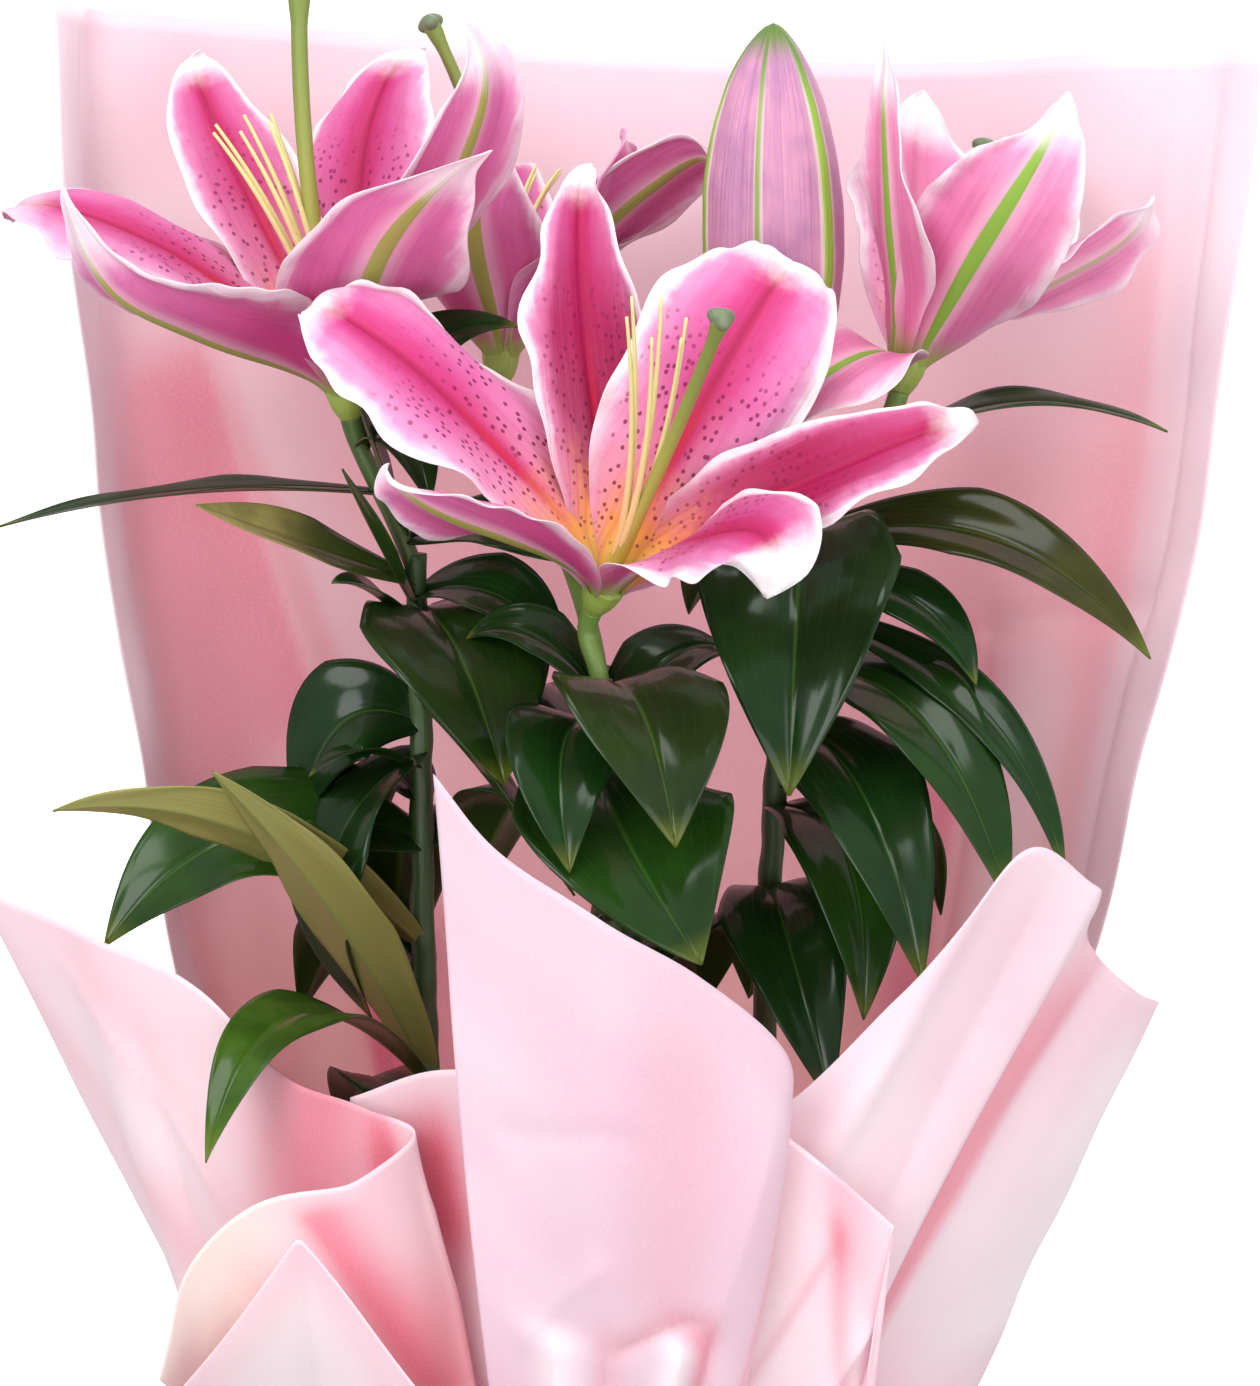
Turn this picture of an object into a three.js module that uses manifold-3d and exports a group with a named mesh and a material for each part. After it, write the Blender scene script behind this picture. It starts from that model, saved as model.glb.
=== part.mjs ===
// A potted pink lily in florist's paper: three leafy stems with bulbs in a nursery pot,
// four blooms and a bud, held in folded sheets of pink paper by a ribbon round the pot.
// Millimetres, +Z up. The origin is the middle of the pot's base. The front is -Y.

import * as THREE from "three";
import { mergeVertices } from "three/addons/utils/BufferGeometryUtils.js";
import Module from "manifold-3d";

const wasm = await Module();
wasm.setup();

// Driving dimensions
const GAP = 0.3; // clearance between pieces that touch
const BLADE = 0.8; // thickness of a leaf or tepal
const PAPER = 0.8; // thickness of a sheet of wrapping paper
const SLIVER = 0.06; // detail smaller than this is merged
const WELD = 1e-4; // points closer than this are one point
const ROUND = 32; // facets round the pot and the soil
const COARSE = 8; // facets round a bulb, a drain hole or a stem's hole

const POT_HEIGHT = 125;
const POT_BASE_R = 54;
const POT_RIM_R = 74.9;
const POT_LIP_HEIGHT = 12;
const POT_LIP_STEP = 2.4;
const POT_WALL = 2;
const DRAIN_R = 4;
const DRAIN_RING_R = 34;
const DRAIN_HOLES = 6;

const SOIL_TOP = 113;
const SOIL_EDGE_DROP = 2; // the soil is this much lower at the pot's wall
const SOIL_CROWN_R = 50;
const SOIL_DIP_R = 25;
const SOIL_DIP = 1;
const BULB_R = 19;
const BULB_HEIGHT = 40;
const BULB_MIDDLE = 60; // height of a bulb's widest ring
const STEM_R = 4.4;
const STEM_HOLE_R = 5.6; // plain hole in the soil round a stem
const STEM_TOP_R = 3;
const PEDICEL_R = 2.6;
const BROAD = 54; // a wider leaf has more facets across

const TIE_LOW = 112;
const TIE_HIGH = 124;
const WRAP_FOOT = 1.5; // lower edge of the paper above the surface
const WRAP_FOOT_R = 61;
const WRAP_TIE_R = POT_RIM_R + 2 * GAP + PAPER / 2;
const LAYER = 1.6; // radial step from one sheet of paper to the next
const TOP_LAYER = 4.6;
const RIBBON = 1; // thickness of the ribbon, and how far it stays inside the tie
const RIBBON_SIDES = 40;

const COLOURS = {
  pot: 0x2b2b2d,
  soil: 0x3a2a1e,
  bulb: 0xe9dcc0,
  green: 0x2f5a24,
  tepal: 0xe0609a,
  heart: 0xb9bf62,
  bud: 0xd78ab0,
  paper: 0xf6c6d4,
  ribbon: 0xeba6bd,
};

const vec = (p) => new THREE.Vector3(...p);
const clamp = (x, low, high) => Math.min(high, Math.max(low, x));
const mix = (a, b, t) => a + (b - a) * t;
const radians = (degrees) => (degrees * Math.PI) / 180;

// Solids

// A closed geometry through rings of points. Each ring has an even count, and the second half
// of it runs back under the first, so that thin blades are split alike on both faces.
function loft(rings) {
  const count = rings[0].length;
  const half = count / 2;
  const positions = rings.flat().flatMap((p) => [p.x, p.y, p.z]);
  const faces = [];
  const quad = (a, b, c, d, turned) =>
    faces.push(...(turned ? [a, b, d, b, c, d] : [a, b, c, a, c, d]));
  for (let i = 0; i + 1 < rings.length; i++) {
    for (let j = 0; j < count; j++) {
      const k = (j + 1) % count;
      quad(i * count + j, (i + 1) * count + j, (i + 1) * count + k, i * count + k, j >= half);
    }
  }
  const last = (rings.length - 1) * count;
  for (let j = 0; j + 1 < half; j++) {
    const back = count - 1 - j;
    quad(j, j + 1, back - 1, back, false);
    quad(last + j, last + back, last + back - 1, last + j + 1, false);
  }
  return new THREE.BufferGeometry()
    .setAttribute("position", new THREE.Float32BufferAttribute(positions, 3))
    .setIndex(faces);
}

function solid(geometry) {
  const bare = geometry.clone().deleteAttribute("normal").deleteAttribute("uv");
  const merged = mergeVertices(bare, WELD);
  const made = new wasm.Manifold(
    new wasm.Mesh({
      numProp: 3,
      vertProperties: merged.attributes.position.array,
      triVerts: new Uint32Array(merged.index.array),
    }),
  );
  if (made.volume() > 0) return made;
  const index = merged.index.array;
  for (let i = 0; i < index.length; i += 3) {
    [index[i + 1], index[i + 2]] = [index[i + 2], index[i + 1]];
  }
  return new wasm.Manifold(
    new wasm.Mesh({
      numProp: 3,
      vertProperties: merged.attributes.position.array,
      triVerts: new Uint32Array(index),
    }),
  );
}

const fuse = (parts) => parts.reduce((all, one) => all.add(one));

// The largest body of a solid, without loose scraps, sealed hollows or slivers.
function largest(made) {
  const biggest = (one) => one.decompose().reduce((a, b) => (b.volume() > a.volume() ? b : a));
  return biggest(biggest(made).simplify(SLIVER));
}

function geometryOf(made) {
  const mesh = made.getMesh();
  return new THREE.BufferGeometry()
    .setAttribute("position", new THREE.BufferAttribute(mesh.vertProperties, 3))
    .setIndex(new THREE.BufferAttribute(mesh.triVerts, 1));
}

// A thin closed blade on either side of surface(t, s), with t from 0 to 1 and s from -1 to 1.
function blade(surface, rows, columns, thickness) {
  const step = 1e-3;
  const rings = [];
  for (let i = 0; i <= rows; i++) {
    const over = [];
    const under = [];
    for (let j = 0; j <= columns; j++) {
      const t = i / rows;
      const s = mix(-1, 1, j / columns);
      const t0 = clamp(t, step, 1 - step);
      const s0 = clamp(s, step - 1, 1 - step);
      const along = surface(t0 + step, s0).sub(surface(t0 - step, s0));
      const across = surface(t0, s0 + step).sub(surface(t0, s0 - step));
      const normal = across.cross(along).normalize().multiplyScalar(thickness / 2);
      const middle = surface(t, s);
      over.push(middle.clone().add(normal));
      under.push(middle.clone().sub(normal));
    }
    rings.push([...over, ...under.reverse()]);
  }
  return solid(loft(rings));
}

// A round rod along a curve, with radiusAt(t) at each step.
function rod(curve, radiusAt, steps, sides) {
  const frames = curve.computeFrenetFrames(steps, false);
  const rings = [];
  for (let i = 0; i <= steps; i++) {
    const centre = curve.getPointAt(i / steps);
    const radius = radiusAt(i / steps);
    const ring = [];
    for (let j = 0; j < sides; j++) {
      const turn = (2 * Math.PI * j) / sides;
      ring.push(
        centre
          .clone()
          .addScaledVector(frames.normals[i], radius * Math.cos(turn))
          .addScaledVector(frames.binormals[i], radius * Math.sin(turn)),
      );
    }
    rings.push(ring);
  }
  return solid(loft(rings));
}

const through = (points) => new THREE.CatmullRomCurve3(points.map(vec), false, "centripetal");

const group = new THREE.Group();

function place(name, made, colour, roughness = 0.6) {
  const material = new THREE.MeshStandardMaterial({ color: colour, roughness, metalness: 0 });
  const mesh = new THREE.Mesh(geometryOf(made), material);
  mesh.name = name;
  group.add(mesh);
}

function turned(profile, sides) {
  const points = profile.map(([r, z]) => new THREE.Vector2(r, z));
  return solid(new THREE.LatheGeometry(points, sides).rotateX(Math.PI / 2));
}

// Pot, soil and bulbs

const potSlope = (POT_RIM_R - POT_LIP_STEP - POT_BASE_R) / (POT_HEIGHT - POT_LIP_HEIGHT);
const potOuter = (z) => POT_BASE_R + potSlope * z;

function potSolid() {
  const lipLow = POT_HEIGHT - POT_LIP_HEIGHT;
  const body = turned(
    [
      [0, 0],
      [POT_BASE_R, 0],
      [potOuter(lipLow), lipLow],
      [POT_RIM_R, lipLow],
      [POT_RIM_R, POT_HEIGHT],
      [POT_RIM_R - POT_WALL, POT_HEIGHT],
      [potOuter(lipLow) - POT_WALL, lipLow - POT_WALL],
      [potOuter(POT_WALL) - POT_WALL, POT_WALL],
      [0, POT_WALL],
    ],
    ROUND,
  );
  const holes = Array.from({ length: DRAIN_HOLES }, (_, i) => {
    const turn = (2 * Math.PI * i) / DRAIN_HOLES;
    const hole = new THREE.CylinderGeometry(DRAIN_R, DRAIN_R, 4 * POT_WALL, COARSE)
      .rotateX(Math.PI / 2)
      .translate(DRAIN_RING_R * Math.cos(turn), DRAIN_RING_R * Math.sin(turn), 0);
    return solid(hole);
  });
  return holes.reduce((made, hole) => made.subtract(hole), body);
}

// Share of a bulb's radius at a share of its height: broad below, drawn in to a neck above.
const BULB_PROFILE = [
  [0.3, 0],
  [0.72, 0.1],
  [1, 0.4],
  [0.86, 0.68],
  [0.5, 0.88],
  [0.3, 1],
];

function bulbSolid([x, y], grow) {
  const low = BULB_MIDDLE - 0.4 * BULB_HEIGHT - grow;
  const height = BULB_HEIGHT + 2 * grow;
  const profile = BULB_PROFILE.map(([r, z]) => [BULB_R * r + grow, low + height * z]);
  return turned([[0, low], ...profile, [0, low + height]], COARSE).translate(x, y, 0);
}

function soilSolid(stemFeet) {
  const inner = (z) => potOuter(z) - POT_WALL - GAP;
  const low = POT_WALL + GAP;
  const shoulder = POT_HEIGHT - POT_LIP_HEIGHT - POT_WALL - 1;
  let made = turned(
    [
      [0, low],
      [inner(low), low],
      [inner(shoulder), shoulder],
      [inner(shoulder), SOIL_TOP - SOIL_EDGE_DROP],
      [SOIL_CROWN_R, SOIL_TOP],
      [SOIL_DIP_R, SOIL_TOP - SOIL_DIP],
      [0, SOIL_TOP],
    ],
    ROUND,
  );
  const depth = SOIL_TOP - BULB_MIDDLE;
  for (const foot of stemFeet) {
    const hole = new THREE.CylinderGeometry(STEM_HOLE_R, STEM_HOLE_R, 2 * depth, COARSE)
      .rotateX(Math.PI / 2)
      .translate(foot[0], foot[1], BULB_MIDDLE + depth);
    made = made.subtract(bulbSolid(foot, GAP)).subtract(solid(hole));
  }
  return made;
}

// Leaves and leafy stems

// A curve that starts at a, passes b half-way and ends at c.
function arc(a, b, c) {
  const control = b.clone().multiplyScalar(2).addScaledVector(a, -0.5).addScaledVector(c, -0.5);
  return new THREE.QuadraticBezierCurve3(a, control, c);
}

const LEAF_WIDEST = 0.42; // share of its length at which a leaf is widest
const LEAF_FOOT = 0.16; // half-width at its foot and least half-width, as shares of the greatest
const LEAF_LEAST = 0.012;
const LEAF_RISE = 0.7; // how soon it widens beyond its foot, and narrows towards its tip
const LEAF_FALL = 1.9;

const leafOutline = (t) => {
  const rise = Math.pow(clamp(t / LEAF_WIDEST, 0, 1), LEAF_RISE);
  const fall = 1 - Math.pow(clamp((t - LEAF_WIDEST) / (1 - LEAF_WIDEST), 0, 1), LEAF_FALL);
  return LEAF_FOOT * (1 - t) + (1 - LEAF_FOOT) * rise * fall + LEAF_LEAST;
};

// The middle surface of a leaf. face turns its upper side to the front by so many degrees,
// roll turns it to the right about its length, and cup raises its edges.
function leafSurface({ root, mid, tip, width, face = 0, roll = 0, cup = 0.22 }) {
  const spine = arc(root, vec(mid), vec(tip));
  const out = vec(tip).sub(root);
  out.z = 0;
  const side = new THREE.Vector3(0, 0, 1).cross(out).normalize();
  const turn = radians(roll + face * Math.sign(out.x));
  return (t, s) => {
    const tangent = spine.getTangent(t);
    const across = side.clone().addScaledVector(tangent, -side.dot(tangent)).normalize();
    across.applyAxisAngle(tangent, turn);
    const normal = tangent.clone().cross(across);
    const half = (width / 2) * leafOutline(t);
    const lift = half * cup * (1.7 * Math.abs(s) - 0.7 * s * s);
    return spine.getPoint(t).addScaledVector(across, half * s).addScaledVector(normal, lift);
  };
}

function stemPoint(curve, z) {
  let low = 0;
  let high = 1;
  for (let i = 0; i < 30; i++) {
    const t = (low + high) / 2;
    if (curve.getPoint(t).z < z) low = t;
    else high = t;
  }
  return curve.getPoint(low);
}

// path runs from the bulb to the top of the stem. A pedicel leaves its top, or a height on it,
// and ends under a bloom. z is the height at which a leaf leaves the stem.
const STEMS = {
  left: {
    path: [[-33, 10, 84.3], [-33, 10, 118], [-43, 7, 200], [-47, 5, 290], [-48, 4, 380], [-49, 2, 420]],
    pedicels: [{ bloom: "left", mid: [-58, 1, 440] }],
    leaves: [
      { z: 437, mid: [-111, -4, 438], tip: [-164, -10, 429], width: 18, face: 6 },
      { z: 412, mid: [-80, -20, 426], tip: [-107, -38, 438], width: 20, face: 40 },
      { z: 404, mid: [-60, -12, 428], tip: [-68, -20, 446], width: 18, face: 30 },
      { z: 396, mid: [-60, -14, 411], tip: [-71, -24, 415], width: 16, face: 20 },
      { z: 404, mid: [-36, -34, 397], tip: [-23, -58, 364], width: 58 },
      { z: 372, mid: [-70, 2, 372], tip: [-82, 8, 342], width: 38, face: 50 },
      { z: 358, mid: [-64, -10, 366], tip: [-78, -18, 360], width: 14 },
      { z: 338, mid: [-96, -10, 343], tip: [-135, -22, 313], width: 44, face: 42 },
      { z: 308, mid: [-96, -34, 348], tip: [-147, -40, 354], width: 24, face: -46 },
      { z: 271, mid: [-71, -30, 324], tip: [-103, -46, 366], width: 28, face: -20 },
      { z: 268, mid: [-80, -60, 301], tip: [-101, -108, 271], width: 26, face: 12 },
      { z: 408, mid: [-27, -8, 410], tip: [-7, -14, 394], width: 32, face: 24 },
      { z: 378, mid: [-30, -30, 364], tip: [-4, -54, 333], width: 26, roll: -35 },
      { z: 448, mid: [-46, 14, 476], tip: [-20, 8, 483], width: 24, face: 30 },
      { z: 424, mid: [-20, -8, 428], tip: [6, -14, 414], width: 30, face: 30 },
      { z: 450, mid: [-52, -12, 454], tip: [-44, -20, 436], width: 20, face: 20 },
      { z: 426, mid: [-58, -12, 446], tip: [-65, -16, 468], width: 18, face: 50 },
      { z: 364, mid: [-72, -13, 334], tip: [-62, 2, 288], width: 40, face: 24 },
      { z: 350, mid: [-68, 24, 350], tip: [-76, 38, 296], width: 48 },
      { z: 336, mid: [-54, 34, 336], tip: [-58, 50, 280], width: 46 },
      { z: 300, mid: [-68, 42, 308], tip: [-86, 66, 276], width: 34 },
      { z: 246, mid: [-62, 42, 262], tip: [-74, 74, 240], width: 30 },
    ],
  },
  centre: {
    path: [[4, -27, 84.3], [4, -27, 118], [6, -30, 220], [5, -34, 320], [3, -38, 390]],
    pedicels: [
      { bloom: "centre", mid: [3, -41, 399] },
      { bloom: "back", from: 384, mid: [0, 4, 420] },
    ],
    leaves: [
      { z: 387, mid: [14, -70, 386], tip: [23, -94, 353], width: 52 },
      { z: 376, mid: [-7, -68, 376], tip: [-5, -93, 346], width: 36, roll: -12 },
      { z: 364, mid: [10, -70, 351], tip: [30, -92, 321], width: 66, roll: 6 },
      { z: 384, mid: [-16, -34, 402], tip: [-34, -30, 400], width: 26, face: 20 },
      { z: 372, mid: [22, -24, 394], tip: [40, -8, 393], width: 28, face: 20 },
      { z: 338, mid: [-18, 0, 352], tip: [-34, 22, 314], width: 48 },
      { z: 322, mid: [-14, -58, 318], tip: [-20, -80, 288], width: 38 },
      { z: 300, mid: [23, -2, 316], tip: [31, 22, 286], width: 48 },
      { z: 366, mid: [-10, 4, 382], tip: [-30, 28, 364], width: 40 },
    ],
  },
  right: {
    path: [[38, 14, 84.3], [38, 14, 118], [46, 16, 200], [50, 15, 300], [54, 13, 380], [61, 12, 428]],
    pedicels: [
      { bloom: "right", mid: [74, 13, 448] },
      { bloom: "bud", from: 414, mid: [57, 20, 432] },
    ],
    leaves: [
      { z: 426, mid: [57, -34, 414], tip: [54, -58, 361], width: 60, roll: 3 },
      { z: 422, mid: [112, -4, 425], tip: [155, -18, 393], width: 30, face: 34 },
      { z: 402, mid: [106, -14, 380], tip: [130, -42, 336], width: 20, face: 22 },
      { z: 384, mid: [90, -20, 378], tip: [114, -50, 330], width: 38, roll: 14 },
      { z: 368, mid: [74, -30, 359], tip: [90, -66, 311], width: 38, roll: 12 },
      { z: 346, mid: [71, -18, 338], tip: [75, -46, 297], width: 36, roll: 5 },
      { z: 322, mid: [54, -26, 318], tip: [66, -60, 276], width: 38, roll: 6 },
      { z: 440, mid: [114, 4, 461], tip: [160, -6, 455], width: 22, face: 8 },
      { z: 352, mid: [82, 30, 346], tip: [101, 44, 310], width: 36 },
      { z: 392, mid: [58, 44, 398], tip: [62, 72, 372], width: 34 },
      { z: 300, mid: [50, 46, 306], tip: [46, 72, 280], width: 34 },
      { z: 404, mid: [40, 36, 414], tip: [28, 58, 396], width: 28 },
      { z: 412, mid: [90, -4, 407], tip: [107, -14, 385], width: 22, face: 30 },
    ],
  },
};

// Blooms: base is the foot of the bloom and axis the way it faces. Each tepal passes half-way
// through mid and ends at tip, and outer marks the narrow ones. widest, point, taper and cup are
// given where they differ from the usual ones below. stamens is the middle of the stamens' tips,
// gather is how far each stands from it, and girth is the style's radius.
const BLOOMS = {
  centre: {
    base: [3, -42, 414],
    axis: [0.34, -0.55, 0.76],
    tepals: [
      { mid: [-35, -57, 467], tip: [-76, -44, 490], width: 56, taper: 1.15 },
      { mid: [0, -34, 480], tip: [1, -8, 530], width: 42, outer: true, point: 1, taper: 1.2 },
      { mid: [32, -49, 469], tip: [57, -18, 503], width: 55 },
      { mid: [55, -74, 448], tip: [106, -56, 463], width: 37, outer: true },
      { mid: [32, -88, 436], tip: [46, -114, 421], width: 44, roll: 30 },
      { mid: [-25, -84, 436], tip: [-53, -94, 455], width: 42, outer: true, roll: 58 },
    ],
    style: [35, -95, 493],
    stamens: [18, -78, 492],
    gather: 9,
  },
  left: {
    base: [-68, 0, 464],
    axis: [-0.2, -0.2, 0.95],
    tepals: [
      { mid: [-106, -31, 483], tip: [-140, -42, 524], width: 58, outer: true, roll: 16, cup: 0.55 },
      { mid: [-114, 2, 503], tip: [-164, 12, 514], width: 48 },
      { mid: [-96, 27, 519], tip: [-111, 48, 557], width: 34, outer: true },
      { mid: [-66, 28, 521], tip: [-47, 46, 559], width: 50, point: 1.5, taper: 1.2 },
      { mid: [-42, -8, 516], tip: [-36, -4, 566], width: 50, outer: true, roll: -52, widest: 0.6, taper: 0.8 },
      { mid: [-60, -30, 499], tip: [-27, -42, 535], width: 60, outer: true, roll: -42 },
    ],
    style: [-80, 0, 576],
    girth: 2.3,
    stamens: [-96, -2, 540],
    gather: 9,
  },
  back: {
    base: [-26, 45, 470],
    axis: [0.05, 0.2, 0.97],
    tepals: [
      { mid: [-32, 25, 502], tip: [-22, 19, 532], width: 46, outer: true },
      { mid: [-2, 42, 506], tip: [8, 42, 532], width: 42 },
      { mid: [9, 42, 514], tip: [36, 34, 516], width: 40, outer: true, roll: -20 },
      { mid: [4, 72, 506], tip: [26, 88, 520], width: 46 },
      { mid: [-26, 76, 506], tip: [-22, 98, 522], width: 32, outer: true },
      { mid: [-46, 64, 506], tip: [-56, 84, 518], width: 46 },
    ],
    style: [-46, 58, 566],
    stamens: [-16, 62, 524],
    gather: 8,
  },
  right: {
    base: [88, 14, 470],
    axis: [0.25, 0.05, 0.96],
    tepals: [
      { mid: [83, -5, 513], tip: [83, 5, 562], width: 43, outer: true, roll: -8 },
      { mid: [108, -17, 508], tip: [131, -13, 547], width: 46, outer: true, roll: -40 },
      { mid: [126, 13, 494], tip: [156, 20, 518], width: 36, roll: -35 },
      { mid: [116, 44, 502], tip: [126, 60, 534], width: 40, outer: true },
      { mid: [92, 42, 506], tip: [95, 60, 546], width: 40 },
      { mid: [71, -13, 475], tip: [48, -28, 452], width: 42 },
    ],
    style: [111, 26, 532],
    stamens: [108, 24, 518],
    gather: 4,
  },
};
const BUD = { base: [54, 28, 450], tip: [51, 20, 567], radius: 19.5 };

// The receptacle's heights under and over the foot of a bloom, and its radii.
const CUP_LOW = 6;
const CUP_HIGH = 4;
const CUP_R = 5.6;
const CUP_MIDDLE_R = 4.4;
const RISE = 0.2; // how far a tepal follows the axis, as a share of its length

// The two kinds of tepal: three narrow outer ones and three broad ruffled inner ones. widest is
// the share of the length at which it is widest, point how soon it narrows beyond, from 1 for
// straight sides, and taper how fine its tip is. ring is the radius that it stands on, cup how
// far its margins rise, and ruffle how far they wave.
const OUTER = { widest: 0.52, point: 1.6, taper: 1.1, ring: 4.4, cup: 0.22, ruffle: 0.8 };
const INNER = { widest: 0.56, point: 2, taper: 0.8, ring: 3.2, cup: 0.14, ruffle: 2.6 };
const TEPAL_FOOT = 0.12; // half-width at its foot and least half-width, as shares of the greatest
const TEPAL_LEAST = 0.02;
const TEPAL_LEAST_MM = 0.5;
const TEPAL_RISE = 1.2; // how soon it widens beyond its foot
const RUFFLES = 13; // turns of the wave along its margins, in radians
const RUFFLE_SLANT = 2.2;
const RUFFLE_FADE = 0.4; // share of the wave that is lost at the tip
const CUP_AT_FOOT = 1.6; // how far the margins rise at the foot, where they rise 0.6 at the tip
const GROOVE = 1.3; // depth of the groove along its middle
const GROOVE_WIDTH = 0.16; // as a share of the half-width
const WRAPPED = 0.2; // share of its length over which its root wraps round the cup
const WRAP_BEND = 0.35;

// Half-width of a tepal along its length, as a share of the greatest.
const tepalOutline = (t, { widest, point, taper }) => {
  const rise = Math.sin((clamp(t / widest, 0, 1) * Math.PI) / 2);
  const fall = Math.pow(1 - Math.pow(clamp((t - widest) / (1 - widest), 0, 1), point), taper);
  return TEPAL_FOOT * (1 - t) + (1 - TEPAL_FOOT) * Math.pow(rise, TEPAL_RISE) * fall + TEPAL_LEAST;
};

// The middle surface of a tepal: it leaves the cup along the bloom's axis, opens and turns back.
// Its margins rise towards the inside of the bloom, and its groove shows as a rib outside.
function tepalSurface(bloom, { mid, tip, width, roll = 0, outer = false, ...shape }) {
  const kind = { ...(outer ? OUTER : INNER), ...shape };
  const base = vec(bloom.base);
  const axis = vec(bloom.axis).normalize();
  const reach = vec(tip).sub(base);
  const radial = reach.clone().addScaledVector(axis, -reach.dot(axis)).normalize();
  const side = axis.clone().cross(radial);
  const root = base.clone().addScaledVector(radial, kind.ring);
  const first = root.clone().addScaledVector(axis, RISE * reach.length());
  const second = vec(mid)
    .multiplyScalar(8 / 3)
    .addScaledVector(root, -1 / 3)
    .addScaledVector(first, -1)
    .addScaledVector(vec(tip), -1 / 3);
  const spine = new THREE.CubicBezierCurve3(root, first, second, vec(tip));
  return (t, s) => {
    const tangent = spine.getTangent(t);
    const across = side.clone().applyAxisAngle(tangent, radians(roll) * Math.min(1, 2 * t));
    const normal = tangent.clone().cross(across);
    const half = Math.max((width / 2) * tepalOutline(t, kind), TEPAL_LEAST_MM);
    const open = clamp(3 * t, 0.25, 1);
    const lift = half * kind.cup * s * s * (CUP_AT_FOOT - t) * open;
    const groove = GROOVE * Math.exp(-Math.pow(s / GROOVE_WIDTH, 2)) * Math.sin(Math.PI * clamp(t, 0, 1));
    const swell = kind.ruffle * Math.pow(Math.abs(s), 3) * open * (1 - RUFFLE_FADE * t);
    const wave = swell * Math.sin(RUFFLES * t + RUFFLE_SLANT * s);
    const bend = Math.pow(clamp(1 - t / WRAPPED, 0, 1), 2) * half * WRAP_BEND * s * s;
    return spine
      .getPoint(t)
      .addScaledVector(across, half * s)
      .addScaledVector(normal, lift - groove + wave + bend);
  };
}

function axisRod(base, axis, levels, sides) {
  const curve = new THREE.LineCurve3(
    base.clone().addScaledVector(axis, levels[0][0]),
    base.clone().addScaledVector(axis, levels.at(-1)[0]),
  );
  const span = levels.at(-1)[0] - levels[0][0];
  const frames = curve.computeFrenetFrames(1, false);
  const rings = levels.map(([height, radius]) => {
    const centre = curve.getPoint((height - levels[0][0]) / span);
    return Array.from({ length: sides }, (_, j) => {
      const turn = (2 * Math.PI * j) / sides;
      return centre
        .clone()
        .addScaledVector(frames.normals[0], radius * Math.cos(turn))
        .addScaledVector(frames.binormals[0], radius * Math.sin(turn));
    });
  });
  return solid(loft(rings));
}

function bloomSolid(bloom) {
  const base = vec(bloom.base);
  const axis = vec(bloom.axis).normalize();
  const cup = axisRod(
    base,
    axis,
    [
      [-CUP_LOW, PEDICEL_R],
      [-CUP_LOW / 2, CUP_MIDDLE_R],
      [CUP_HIGH, CUP_R],
    ],
    12,
  );
  const tepals = bloom.tepals.map((tepal) => blade(tepalSurface(bloom, tepal), 5, 4, BLADE));
  return largest(fuse([cup, ...tepals]));
}

const STYLE_FOOT_R = 2.5;
const STYLE_R = 1.8;
const STYLE_BEND = 0.55; // share of its length at which it leaves the axis
const FILAMENT_BEND = 0.42;
const STIGMA_R = 4.2;
const FILAMENT_FOOT_R = 1.3;
const FILAMENT_TIP_R = 0.8;

// Pistil and stamens, which stand on the middle of the cup. The anthers have been picked off.
function heartSolid(bloom) {
  const base = vec(bloom.base);
  const axis = vec(bloom.axis).normalize();
  const up = (height) => base.clone().addScaledVector(axis, height);
  const end = vec(bloom.style);
  const length = end.distanceTo(base);
  const styleCurve = new THREE.QuadraticBezierCurve3(up(CUP_HIGH + GAP), up(STYLE_BEND * length), end);
  const { girth = STYLE_R } = bloom;
  const style = rod(styleCurve, (t) => mix(STYLE_FOOT_R, girth, Math.min(1, 3 * t)), 4, 5);
  const stigma = solid(new THREE.SphereGeometry(STIGMA_R, 6, 4).scale(1, 1, 0.7))
    .translate(end.x, end.y, end.z);
  const side = new THREE.Vector3(0, 1, 0.2).cross(axis).normalize();
  const middle = vec(bloom.stamens);
  const filaments = Array.from({ length: 6 }, (_, i) => {
    const out = side.clone().applyAxisAngle(axis, ((i + 0.5) * Math.PI) / 3);
    const curve = new THREE.QuadraticBezierCurve3(
      up(CUP_HIGH + GAP + FILAMENT_TIP_R),
      up(FILAMENT_BEND * length).addScaledVector(out, 0.35 * bloom.gather),
      middle.clone().addScaledVector(out, bloom.gather),
    );
    return rod(curve, (t) => mix(FILAMENT_FOOT_R, FILAMENT_TIP_R, t), 2, 3);
  });
  return fuse([style, stigma, ...filaments]);
}

const BUD_LEVELS = [0, 0.1, 0.25, 0.42, 0.6, 0.76, 0.86, 0.93, 0.975, 1]; // shares of its length
const BUD_WIDEST = 0.5;
const BUD_FOOT = 0.2; // least radii at its foot and its tip, as shares of the greatest
const BUD_POINT = 0.05;
const BUD_RISE = 0.8; // how soon it widens beyond its foot, and how round its tip is
const BUD_FALL = 0.645;
const BUD_SIDES = 12;
const BUD_RIB = 0.07; // height of a rib as a share of the radius
const BUD_TURN = 41; // one rib stands this many degrees to the right of the front

// Radius of the bud at a share of its length, as a share of its greatest radius.
function budShare(t) {
  if (t < BUD_WIDEST) {
    const rise = Math.sin((Math.PI * t) / (2 * BUD_WIDEST));
    return mix(BUD_FOOT, 1, Math.pow(rise, BUD_RISE));
  }
  const fall = (t - BUD_WIDEST) / (1 - BUD_WIDEST);
  return Math.max(Math.pow(1 - fall * fall, BUD_FALL), BUD_POINT);
}

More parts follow.
